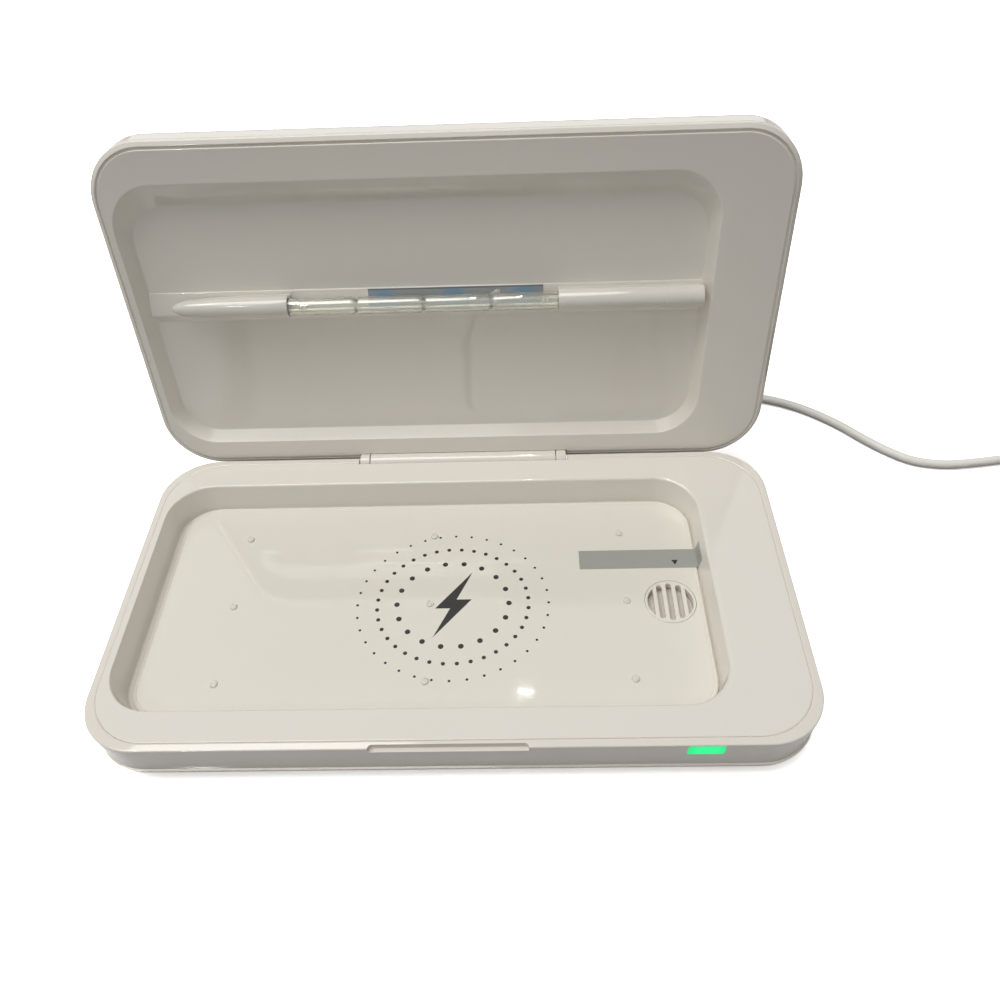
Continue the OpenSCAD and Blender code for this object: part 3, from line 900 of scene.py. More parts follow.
    def to_object(self, matrix: Matrix) -> bpy.types.Object:
        """Turns the form into an object with smooth faces and sharp edges where it folds.

        Args:
            matrix: The scale and the place that the mesh gets.

        Returns:
            The object.
        """
        self.mesh.transform(matrix)
        self.mesh.shade_smooth()
        self.mesh.set_sharp_from_angle(angle=SHARP_ANGLE)
        self.mesh.name = self.name
        made = bpy.data.objects.new(self.name, self.mesh)
        bpy.context.scene.collection.objects.link(made)
        return made


@dataclass(frozen=True)
class Hinge:
    """The hinge between the base and the lid."""

    y: float = 58.4
    z: float = 20.4
    middle: float = 0.5
    half: float = 35.0
    radius: float = 3.0
    room: float = 39.5
    angle: float = 100.45

    def swing(self) -> Matrix:
        """Gives the turn from the closed lid to the open one."""
        there = Matrix.Translation((0.0, self.y, self.z))
        return there @ Matrix.Rotation(math.radians(-self.angle), 4, "X") @ there.inverted()

    def rod(self, name: str, radius: float, x0: float, x1: float, ease: float = 0.0) -> Form:
        """Makes a rod on the hinge's axis."""
        return Form(name).rod(radius, x0, x1, Axis.X, (0.0, self.y, self.z), ease)

    def slot(self, grow: float) -> Form:
        """Makes the room that the knuckles need."""
        ends = self.middle - self.room, self.middle + self.room
        return self.rod("hinge_slot", self.radius + grow, *ends)

    def beside(self, side: int, near: float, far: float) -> tuple[float, float]:
        """Gives two places at their distances to one side (-1, 1) of the middle, left one first."""
        x0, x1 = sorted((self.middle + side * near, self.middle + side * far))
        return x0, x1


@dataclass(frozen=True)
class Case:
    """Sizes that the base and the lid share."""

    width: float = 222.0
    depth: float = 118.0
    corner: float = 21.4
    rim: float = 22.0
    seam: float = 0.01
    hinge: Hinge = Hinge()

    def outline(self, corner: float) -> Outline:
        """Gives the box's outline with a corner radius of its own."""
        return Outline(self.width, self.depth, corner)

    def ring(self, inset: float, z: float, rounding: float = 0.0) -> Ring:
        """Gives a ring of the box's outline, drawn in and at a height."""
        return Ring(self.outline(self.corner).inset(inset), z, rounding)

    @property
    def front(self) -> float:
        """Gives the place of the front wall."""
        return -self.depth / 2


CASE = Case()


def settle(
    made: bpy.types.Object, finish: Finish, body: Body, slot: Slot, nodes: Sequence[str]
) -> bpy.types.Object:
    """Dresses a piece and lets it ride on its body.

    Args:
        made: The piece.
        finish: Its finish.
        body: The body that it moves with.
        slot: The record's slot for its finish. Not used.
        nodes: The solids that it stands for.

    Returns:
        The piece.
    """
    made.data.materials.clear()
    made.data.materials.append(finish.material())
    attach(made, body.value)
    if nodes:
        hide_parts(*nodes)
    faces = len(made.data.polygons) if made.type == "MESH" else 0
    log.info("%s: %d faces, %s, on %s", made.name, faces, finish.name, body.value)
    return made


def place(form: Form, finish: Finish, body: Body, slot: Slot, *nodes: str) -> bpy.types.Object:
    """Puts a form where it belongs and dresses it; a lid's form is swung open.

    Args:
        form: The form, in millimetres.
        finish: Its finish.
        body: The body that it moves with.
        slot: The record's slot for its finish.
        nodes: The solids that it stands for.

    Returns:
        The piece.
    """
    scale = Matrix.Scale(MM, 4)
    matrix = scale if body is Body.BASE else scale @ CASE.hinge.swing()
    return settle(form.to_object(matrix), finish, body, slot, nodes)


@dataclass(frozen=True)
class Spot:
    """Where one copy goes, its turn about Z in degrees and the factor on its size."""

    place: Place
    turn: float = 0.0
    factor: float = 1.0


class Repeat:
    """A tree that sets copies of a template on a mesh's vertices and melts them to one mesh."""

    INPUTS = {
        "Template": "NodeSocketObject",
        "Size": "NodeSocketVector",
        "Finish": "NodeSocketMaterial",
    }

    def __init__(self, name: str = "repeat") -> None:
        """Builds the tree.

        Args:
            name: The tree's name.
        """
        self.tree = bpy.data.node_groups.new(name, "GeometryNodeTree")
        face = self.tree.interface
        face.new_socket("Geometry", in_out="INPUT", socket_type="NodeSocketGeometry")
        face.new_socket("Geometry", in_out="OUTPUT", socket_type="NodeSocketGeometry")
        self.sockets = {
            label: face.new_socket(label, in_out="INPUT", socket_type=kind).identifier
            for label, kind in self.INPUTS.items()
        }
        self._wire()

    def _attribute(self, name: str, kind: str) -> Socket:
        """Reads one of the vertices' own values.

        Args:
            name: The value's name.
            kind: Its type.

        Returns:
            The value's output.
        """
        node = self.tree.nodes.new("GeometryNodeInputNamedAttribute")
        node.data_type = kind
        node.inputs["Name"].default_value = name
        return node.outputs["Attribute"]

    def _wire(self) -> None:
        """Makes and links the tree's nodes."""
        nodes = self.tree.nodes
        given, result = nodes.new("NodeGroupInput"), nodes.new("NodeGroupOutput")
        template = nodes.new("GeometryNodeObjectInfo")
        template.transform_space = "ORIGINAL"
        size = nodes.new("ShaderNodeVectorMath")
        size.operation = "SCALE"
        rotation = nodes.new("FunctionNodeEulerToRotation")
        copies = nodes.new("GeometryNodeInstanceOnPoints")
        real = nodes.new("GeometryNodeRealizeInstances")
        dress = nodes.new("GeometryNodeSetMaterial")
        wire(
            self.tree,
            (given.outputs["Template"], template.inputs["Object"]),
            (given.outputs["Size"], size.inputs[0]),
            (self._attribute("grow", "FLOAT"), size.inputs["Scale"]),
            (self._attribute("turn", "FLOAT_VECTOR"), rotation.inputs[0]),
            (given.outputs["Geometry"], copies.inputs["Points"]),
            (template.outputs["Geometry"], copies.inputs["Instance"]),
            (rotation.outputs[0], copies.inputs["Rotation"]),
            (size.outputs[0], copies.inputs["Scale"]),
            (copies.outputs["Instances"], real.inputs["Geometry"]),
            (real.outputs["Geometry"], dress.inputs["Geometry"]),
            (given.outputs["Finish"], dress.inputs["Material"]),
            (dress.outputs["Geometry"], result.inputs["Geometry"]),
        )

    def grow(self, name: str, template: Form, spots: Iterable[Spot], finish: Finish) -> Form:
        """Sets copies of a template on spots.

        Args:
            name: The new form's name.
            template: What is copied, drawn about the origin.
            spots: Where the copies go.
            finish: The finish that the tree sets.

        Returns:
            One plain form with all the copies.
        """
        spots = list(spots)
        mesh = bpy.data.meshes.new(name)
        mesh.from_pydata([spot.place for spot in spots], [], [])
        turns = [part for spot in spots for part in (0.0, 0.0, math.radians(spot.turn))]
        mesh.attributes.new("turn", "FLOAT_VECTOR", "POINT").data.foreach_set("vector", turns)
        factors = [spot.factor for spot in spots]
        mesh.attributes.new("grow", "FLOAT", "POINT").data.foreach_set("value", factors)
        carrier = bpy.data.objects.new(name, mesh)
        bpy.context.scene.collection.objects.link(carrier)
        model = template.to_object(Matrix.Identity(4))
        step = carrier.modifiers.new("repeat", "NODES")
        step.node_group = self.tree
        step[self.sockets["Template"]] = model
        step[self.sockets["Size"]] = (1.0, 1.0, 1.0)
        step[self.sockets["Finish"]] = finish.material()
        graph = bpy.context.evaluated_depsgraph_get()
        result = Form(name)
        result.mesh = bpy.data.meshes.new_from_object(carrier.evaluated_get(graph), depsgraph=graph)
        carrier.modifiers.remove(step)
        for item in (carrier, model):
            bpy.data.objects.remove(item)
        return result


def softened(corners: Sequence[Flat], radius: float, steps: int = 4) -> list[Flat]:
    """Rounds the corners of a flat closed shape.

    Args:
        corners: The corners.
        radius: How far from a corner the rounding starts.
        steps: Points on each rounding, less one.

    Returns:
        The shape's points.
    """
    result = []
    for i, corner in enumerate(corners):
        middle = Vector(corner)
        before = Vector(corners[i - 1]) - middle
        after = Vector(corners[(i + 1) % len(corners)]) - middle
        start = middle + before.normalized() * min(radius, before.length * 0.49)
        end = middle + after.normalized() * min(radius, after.length * 0.49)
        for step in range(steps + 1):
            t = step / steps
            point = start * (1 - t) ** 2 + middle * (2 * t * (1 - t)) + end * t * t
            result.append((point.x, point.y))
    return result


def four(x: float, y: float) -> list[Flat]:
    """Gives a place in each quarter of the box."""
    return [(x, y), (-x, y), (-x, -y), (x, -y)]


# ---------------------------------------------------------------- the box


@dataclass(frozen=True)
class DotRing:
    """A printed ring of dots: how many, where the first is, the half widths and a dot's radius."""

    count: int
    first: float
    across: float
    along: float
    dot: float


@dataclass
class Base:
    """The tray with its shell, charging plate, diffuser, light and underside."""

    case: Case = CASE
    repeat: Repeat = field(default_factory=Repeat)
    bottom: float = 1.5
    arc: float = 8.3  # radius of the wall's lower edge
    arc_turns: tuple[int, ...] = (90, 79, 68, 57, 47, 38, 30, 22, 15, 8)  # rings up the arc
    ledge: Flat = (0.6, 0.1)  # step in and up, above the arc
    corner: float = 18.5
    wall: float = 2.2
    band: float = 2.6
    lip: float = 2.0
    haunch: Flat = (1.2, 3.6)  # below the shelf: its start and its foot
    flange: Flat = (12.4, 1.5)  # round the bottom cover: reach and thickness
    fall: float = 0.2  # from the rim to the wall's crisp edge
    shelf: float = 20.0  # height that the bezel rests at
    notch: Place = (46.6, 1.4, 19.7)  # width, depth and lower edge
    notch_rounding: Flat = (1.19, 0.35)  # its corners and its edges
    light: Place = (68.9, 79.6, 16.2)  # left, right and sill
    light_rounding: float = 0.6
    lintel: float = 0.7  # wall left above the light
    socket: Place = (80.0, 0.0, 11.0)
    socket_hole: Place = (3.9, 53.0, 60.0)  # radius, start and end
    mouth: Outline = Outline(191.3, 91.6, 15.0, -10.55, -0.2)
    draft: float = 1.6
    moat: float = 10.8  # height of the tray's floor round the plate
    tray: float = 1.8  # thickness of its walls
    plate: Outline = Outline(186.2, 86.9, 12.0, -9.8, -0.25)
    plate_top: float = 12.0
    bump_places: tuple[Place, Place] = ((-76.9, -9.4, 57.4), (27.7, -1.9, -31.7))  # columns, rows
    mark: Flat = (-1.6, -2.0)  # middle of the charging mark
    dots: tuple[DotRing, ...] = (
        DotRing(18, 0, 19.1, 17.1, 0.93),
        DotRing(36, 5, 25.8, 23.4, 0.7),
        DotRing(36, 0, 32.6, 29.6, 0.46),
    )
    bolt: tuple[Flat, ...] = (
        (4.83, 11.26), (-7.56, -3.8), (-2.46, -3.86),
        (-7.78, -15.32), (4.78, -0.25), (-0.39, -0.25),
    )
    strip_left: float = 42.4
    strip_sides: Flat = (11.8, 19.9)
    strip_slack: float = 0.05
    strip_thick: float = 0.2
    pointer: tuple[Flat, ...] = ((74.6, 15.2), (75.75, 13.1), (76.9, 15.2))
    grille: Flat = (72.1, -2.4)
    grille_radius: float = 8.6
    slot_pitch: float = 3.25
    slot_width: float = 1.9
    slot_reach: float = 7.5
    end_slot: Flat = (7.7, 5.5)  # radius of its arc, and its straight side's place
    screws: Flat = (76.0, 38.0)
    feet: Flat = (88.0, 38.0)
    foot_radius: float = 5.5
    low_posts: tuple[Flat, Flat] = ((-68, -36), (-14, 14))  # columns, rows
    high_posts: tuple[Flat, Flat] = ((90, 96), (-30, 30))  # columns, rows

    @staticmethod
    def upright(front: float) -> Matrix:
        """Gives the turn that stands a form drawn flat, height along X, in the front wall."""
        return Matrix(((0, 1, 0, 0), (0, 0, 1, front), (1, 0, 0, 0), (0, 0, 0, 1)))

    @property
    def floor(self) -> float:
        """Gives the height of the bottom cover's upper face."""
        return self.bottom + self.wall

    @property
    def opening(self) -> Outline:
        """Gives the outline of the light's window.

        Returns:
            The outline, with its height along X.
        """
        left, right, sill = self.light
        top = self.case.rim - self.lintel
        middle = (top + sill) / 2, (left + right) / 2
        return Outline(top - sill, right - left, self.light_rounding, *middle)

    def shell(self) -> None:
        """Builds the outer shell with the finger notch, the light's window and the knuckle."""
        ring, rim, hinge = self.case.ring, self.case.rim, self.case.hinge
        outline, (flange, thick) = self.case.outline(self.corner), self.flange
        turns = [math.radians(turn) for turn in self.arc_turns]
        curve = [
            (self.arc * (1 - math.cos(turn)), self.bottom + self.arc * (1 - math.sin(turn)))
            for turn in turns
        ]
        form = Form("outer_shell").loft(
            [
                *[Ring(outline.inset(inset), z) for inset, z in curve],
                Ring(outline.inset(curve[-1][0] + self.ledge[0]), curve[-1][1] + self.ledge[1]),
                Ring(outline, rim - self.fall, 0.45),
                ring(self.band, rim, 0.4),
                ring(self.band, self.shelf),
                ring(self.band + self.lip, self.shelf),
                ring(self.band + self.lip, self.shelf - self.haunch[0]),
                ring(self.wall, self.shelf - self.haunch[1]),
                ring(self.wall, self.floor + thick, 4.0),
                ring(flange, self.floor + thick),
                ring(flange, self.floor),
                ring(self.arc, self.floor),
            ],
            closed=True,
        )
        ends = hinge.beside(1, -hinge.half, hinge.half)
        form.join(hinge.rod("barrel", hinge.radius, *ends, 0.25))
        front, (width, deep, low) = self.case.front, self.notch
        corners = (-width / 2, front - PAST, low), (width / 2, front + deep, rim + PAST)
        form.cut(Form("notch").block(*corners, *self.notch_rounding))
        window = Form("window").loft([Ring(self.opening, 0.0), Ring(self.opening, 6.0)])
        window.mesh.transform(self.upright(front - PAST))
        form.cut(window)
        for side in (-1, 1):
            ends = hinge.beside(side, hinge.half + 0.15, hinge.room)
            form.cut(hinge.rod("knuckle_room", hinge.radius + 0.3, *ends))
        form.cut(Form("socket_hole").rod(*self.socket_hole, Axis.Y, self.socket))
        place(form, SHELL, Body.BASE, Slot.SHELL, "base_shell")

    def bezel(self) -> None:
        """Builds the rim and the tray's walls."""
        ring, rim, mouth = self.case.ring, self.case.rim, self.mouth
        inset, tub = self.band + self.case.seam, self.mouth.inset(-self.tray)
        under = self.moat - self.tray
        form = Form("tray").loft(
            [
                Ring(tub.inset(self.draft + 4), under),
                Ring(tub.inset(self.draft), under, 0.8),
                Ring(tub, self.shelf),
                ring(inset, self.shelf),
                ring(inset, rim, 0.35),
                Ring(mouth, rim, 0.9),
                Ring(mouth.inset(self.draft), self.moat, 0.5),
                Ring(mouth.inset(8), self.moat),
            ]
        )
        form.cut(self.case.hinge.slot(0.1))
        form.cut(Form("well").rod(7.9, under - PAST, self.moat + PAST, at=(*self.grille, 0)))
        for x, y in four(*self.screws):
            form.rod(3.2, self.floor, under + 0.1, at=(x, y, 0))
        place(form, TRAY, Body.BASE, Slot.TRAY, "tray_bezel")

    def charging_plate(self) -> None:
        """Builds the plate with its border line, and its pocket for the strip."""
        plate, top, slack = self.plate, self.plate_top, self.strip_slack
        form = Form("charging_plate").loft(
            [
                Ring(plate.inset(4), self.moat),
                Ring(plate, self.moat),
                Ring(plate, top, 0.8),
                Ring(plate.inset(1.25), top),
                Ring(plate.inset(1.4), top - 0.12),
                Ring(plate.inset(1.55), top),
                Ring(plate.inset(3), top),
            ]
        )
        hole = self.grille_radius + 0.12
        form.cut(Form("grille_hole").rod(hole, self.moat - PAST, top + PAST, at=(*self.grille, 0)))
        low = self.strip_left - slack, self.strip_sides[0] - slack, top - self.strip_thick
        form.cut(Form("pocket").block(low, (85.0, self.strip_sides[1] + slack, top + PAST)))
        place(form, PLATE, Body.BASE, Slot.TRAY, "charging_plate")

    def bumps(self) -> None:
        """Builds the nine soft bumps that hold a phone off the plate."""
        dome = Form("bump").turned([(1.3, -0.1), (1.3, 0.7, 0.55), (0.25, 0.7)])
        columns, rows = self.bump_places
        spots = [Spot((x, y, self.plate_top)) for x in columns for y in rows]
        form = self.repeat.grow("bumps", dome, spots, SILICONE)
        place(form, SILICONE, Body.BASE, Slot.BUMP, "phone_bumps")

    def charging_mark(self) -> None:
        """Builds the printed rings of dots and the bolt between them."""
        low, high = self.plate_top - 0.01, self.plate_top + 0.025
        spots = []
        for ring in self.dots:
            for i in range(ring.count):
                angle = math.radians(ring.first + 360 * i / ring.count)
                x = self.mark[0] + ring.across * math.cos(angle)
                y = self.mark[1] + ring.along * math.sin(angle)
                spots.append(Spot((x, y, low), factor=ring.dot))
        dot = Form("dot").turned([(1.0, 0.0), (1.0, high - low)])
        form = self.repeat.grow("charging_mark", dot, spots, INK).prism(self.bolt, low, high)
        place(form, INK, Body.BASE, Slot.BLACK)

    def strip(self) -> None:
        """Builds the grey strip that turns up the tray's right wall, and its pointer."""
        top, (near, far) = self.plate_top + 0.02, self.strip_sides
        wall = self.mouth.x + self.mouth.width / 2
        slope = self.draft / (self.case.rim - self.moat)
        foot = wall - slope * (self.case.rim - top) - self.strip_slack
        bend = [(-0.9, 0.0), (-0.35, 0.06), (-0.06, 0.35), (0.9 * slope, 0.9), (4.5 * slope, 4.5)]
        path = [(self.strip_left, top)] + [(foot + x, top + z) for x, z in bend]
        rows = []
        for i, (x, z) in enumerate(path):
            ahead = Vector(path[min(i + 1, len(path) - 1)]) - Vector(path[max(i - 1, 0)])
            across = Vector((ahead.y, -ahead.x)).normalized() * self.strip_thick
            under, low = x + across.x, z + across.y
            rows.append([(x, near, z), (x, far, z), (under, far, low), (under, near, low)])
        form = Form("instruction_strip").skin(rows)
        place(form, GREY_STRIP, Body.BASE, Slot.STRIP, "instruction_strip")
        form = Form("strip_pointer").prism(self.pointer, top - 0.02, top + 0.02)
        place(form, INK, Body.BASE, Slot.BLACK)

    def diffuser(self) -> None:
        """Builds the grille over the aroma well."""
        (x, y), radius, top = self.grille, self.grille_radius, self.plate_top + 0.1
        corners = [(6.0, self.moat), (radius, self.moat), (radius, top, 0.3)]
        corners += [(radius - 0.6, top, 0.08), (radius - 0.75, top - 0.16), (6.0, top - 0.16)]
        form = Form("aroma_grille").turned(corners, at=(x, y, 0))
        slots, low, high = Form("slots"), self.moat - PAST, top + PAST
        for i in (-1, 0, 1):
            off = i * self.slot_pitch
            reach = math.sqrt(self.slot_reach**2 - off**2)
            outline = Outline(self.slot_width, 2 * reach, 0.94, x + off, y)
            slots.loft([Ring(outline, low), Ring(outline, high)])
        arc, chord = self.end_slot
        half = math.acos(chord / arc)
        turns = [half * (k / 8 - 1) for k in range(17)]
        for side in (-1, 1):
            edge = [(x + side * arc * math.cos(turn), y + arc * math.sin(turn)) for turn in turns]
            slots.prism(edge[::side], low, high)
        place(form.cut(slots), TRAY, Body.BASE, Slot.TRAY, "aroma_grille")

    def light_bar(self) -> None:
        """Builds the light guide in the front wall."""
        outline = self.opening.inset(0.03)
        rings = [Ring(outline.inset(1), 0.0), Ring(outline, 0.0, 0.12), Ring(outline, 3.3)]
        form = Form("light_bar").loft(rings)
        form.mesh.transform(self.upright(self.case.front + 0.02))
        place(form, GREEN_LIGHT, Body.BASE, Slot.LIGHT, "indicator_light")

    def bottom_cover(self) -> None:
        """Builds the bottom cover with its sinks and its posts for the boards."""
        ring, low, high = self.case.ring, self.bottom, self.floor
        rings = [ring(14, low), ring(9.1, low, 0.35), ring(9.1, high), ring(14, high)]
        cover, sinks = Form("bottom_cover").loft(rings), Form("sinks")
        for x, y in four(*self.feet):
            sinks.rod(self.foot_radius + 0.1, low - PAST, low + 0.4, at=(x, y, 0))
        for x, y in four(*self.screws):
            sinks.rod(2.8, low - PAST, low + 1, at=(x, y, 0))
            sinks.rod(1.5, low + 0.5, high + PAST, at=(x, y, 0))
        cover.cut(sinks)
        for (columns, rows), top in ((self.low_posts, 5.0), (self.high_posts, 9.0)):
            for x in columns:
                for y in rows:
                    cover.rod(1.8, high - 0.1, top, at=(x, y, 0))
        place(cover, UNDERSIDE, Body.BASE, Slot.INNER, "bottom_cover")

    def rubber_feet(self) -> None:
        """Builds the four dished feet."""
        corners = [(1.5, 0.25), (3.4, 0.25, 0.1), (3.7, 0.0, 0.1)]
        corners += [(self.foot_radius, 0.0, 0.6), (self.foot_radius, 1.9), (3.0, 1.9)]
        spots = [Spot((x, y, 0)) for x, y in four(*self.feet)]
        form = self.repeat.grow("feet", Form("foot").turned(corners), spots, RUBBER)
        place(form, RUBBER, Body.BASE, Slot.FOOT, "rubber_feet")

    def base_screws(self) -> None:
        """Builds the four cross-head screws."""
        head = [(1.2, 0.0), (2.5, 0.05, 0.25), (2.5, 1.0, 0.1)]
        shank = [(1.15, 1.05), (1.15, 6.4), (0.5, 7.0)]
        screw = Form("screw").turned(head + shank)
        for x, y in ((1.5, 0.3), (0.3, 1.5)):
            screw.cut(Form("cross").block((-x, -y, -1), (x, y, 0.7)))
        places = four(*self.screws)
        spots = [Spot((x, y, self.bottom), 20.0 * i) for i, (x, y) in enumerate(places)]
        form = self.repeat.grow("base_screws", screw, spots, STEEL)
        place(form, STEEL, Body.BASE, Slot.STEEL, "base_screws")

    def build(self) -> None:
        """Builds all of the base."""
        self.shell()
        self.bezel()
        self.charging_plate()
        self.bumps()
        self.charging_mark()
        self.strip()
        self.diffuser()
        self.light_bar()
        self.bottom_cover()
        self.rubber_feet()
        self.base_screws()


@dataclass
class Lid:
    """The lid with its cover, its liner and its knuckles, shaped closed."""

    case: Case = CASE
    low: float = 22.3
    top: float = 43.0
    wall: float = 2.2
    arc: float = 12.0
    band: float = 2.4
    lip: float = 2.0
    haunch: Flat = (1.2, 3.4)  # above the shelf: its start and its end
    fall: float = 1.1  # from the wall's crisp edge to the rim
    corner: float = 19.2
    top_corner: float = 16.0  # the outline's corners at the top
    groove: Place = (0.45, 1.2, 2.0)  # depth, and start and end above the crisp edge
    groove_wall: float = 0.25  # height of its sloping sides
    mouth: Outline = Outline(193.8, 95.4, 15.4, -9.7, 1.5)
    floor: Outline = Outline(188.8, 85.0, 13.0, -9.6, 4.9)
    floor_z: float = 28.3
    skin: float = 1.8
    ridge: tuple[Flat, ...] = ((3.0, 0.3), (-0.6, -1.6), (-8.3, -0.3), (-8.45, 0.3))  # section
    ridge_ends: Flat = (-105.8, 86.2)
    button: Flat = (86.0, 0.0)
    button_radius: float = 6.5
    knuckle_slack: float = 0.15

    def ring(self, inset: float, z: float, rounding: float = 0.0) -> Ring:
        """Gives a ring of the lid's outline, drawn in and at a height."""
        return Ring(self.case.outline(self.corner).inset(inset), z, rounding)

    def cover(self) -> None:
        """Builds the outer cover with the groove round its rim and its two end knuckles."""
        ring, hinge, crisp = self.ring, self.case.hinge, self.low + self.fall
        shelf, under = self.low + self.lip, self.top - self.wall
        deep, start, end = self.groove
        form = Form("lid_cover").loft(
            [
                ring(20, under),
                ring(self.wall, under, self.arc - self.wall),
                ring(self.wall, shelf + self.haunch[1]),
                ring(self.band + self.lip, shelf + self.haunch[0]),
                ring(self.band + self.lip, shelf),
                ring(self.band, shelf),
                ring(self.band, self.low + 0.75),
                ring(self.band - 0.7, self.low + 0.75),
                ring(self.band - 0.75, self.low + 0.1, 0.25),
                ring(0.0, crisp, 0.45),
                ring(0.0, crisp + start, 0.12),
                ring(deep, crisp + start + self.groove_wall, 0.1),
                ring(deep, crisp + end - self.groove_wall, 0.1),
                ring(0.0, crisp + end, 0.12),
                Ring(self.case.outline(self.top_corner), self.top, self.arc),
                ring(20, self.top),
            ]
        )
        form.cut(hinge.slot(self.knuckle_slack))
        hole = self.button_radius + 0.3, self.top - 5, self.top + PAST
        form.cut(Form("button_hole").rod(*hole, at=(*self.button, 0)))
        for side in (-1, 1):
            x0, x1 = hinge.beside(side, hinge.half + 0.3, hinge.half + 3.9)
            form.rod(hinge.radius, x0, x1, Axis.X, (0, hinge.y, hinge.z), 0.3)
            corners = (x0, hinge.y - 1.6, hinge.z), (x1, self.case.depth / 2, hinge.z + 5)
            form.block(*corners, 0.3, 0.2)
        place(form, SHELL, Body.LID, Slot.SHELL, "lid_cover")

    def liner(self) -> None:
        """Builds the inner face with the hollow and the lamp's ridge."""
        ring, low, inset = self.ring, self.low, self.band + self.case.seam
        back = self.floor_z + self.skin
        outer_mouth, outer_floor = self.mouth.inset(-self.skin), self.floor.inset(-self.skin)
        join = outer_mouth.towards(outer_floor, self.lip / (back - low))
        form = Form("lid_liner").loft(
            [
                Ring(outer_floor.inset(4), back),
                Ring(outer_floor, back, 1.0),
                Ring(join, low + self.lip),
                ring(inset, low + self.lip),
                ring(inset, low, 0.25),
                Ring(self.mouth, low, 0.6),
                Ring(self.floor, self.floor_z, 0.8),
                Ring(self.floor.inset(4), self.floor_z),
            ]
        )
        section = softened([(y, self.floor_z + height) for y, height in self.ridge], 0.4)
        form.join(Form("ridge").bar(section, *self.ridge_ends))
        form.cut(self.case.hinge.slot(self.knuckle_slack))
        place(form, LINER, Body.LID, Slot.TRAY, "lid_liner")

    def start_button(self) -> None:
        """Builds the dished start button with its flange and stem."""
        radius, top, bowl = self.button_radius, self.top + 0.3, 30.0
        stem = [(1.0, 36.1), (1.6, 36.1, 0.2), (1.6, 39.3)]
        flange = [(radius + 1.2, 39.3, 0.2), (radius + 1.2, 40.5, 0.2), (radius, 40.5)]
        low = top + bowl - 0.8
        dish = [(r, low - math.sqrt(bowl**2 - r * r)) for r in (5.7, 4.6, 3.4, 2.2, 1.0)]
        corners = [*stem, *flange, (radius, top - 0.05, 0.5), *dish]
        form = Form("start_button").turned(corners, at=(*self.button, 0))
        place(form, BUTTON, Body.BUTTON, Slot.BUTTON, "start_button")

    def build(self) -> None:
        """Builds all of the lid but the lamp."""
        self.cover()
        self.liner()
        self.start_button()


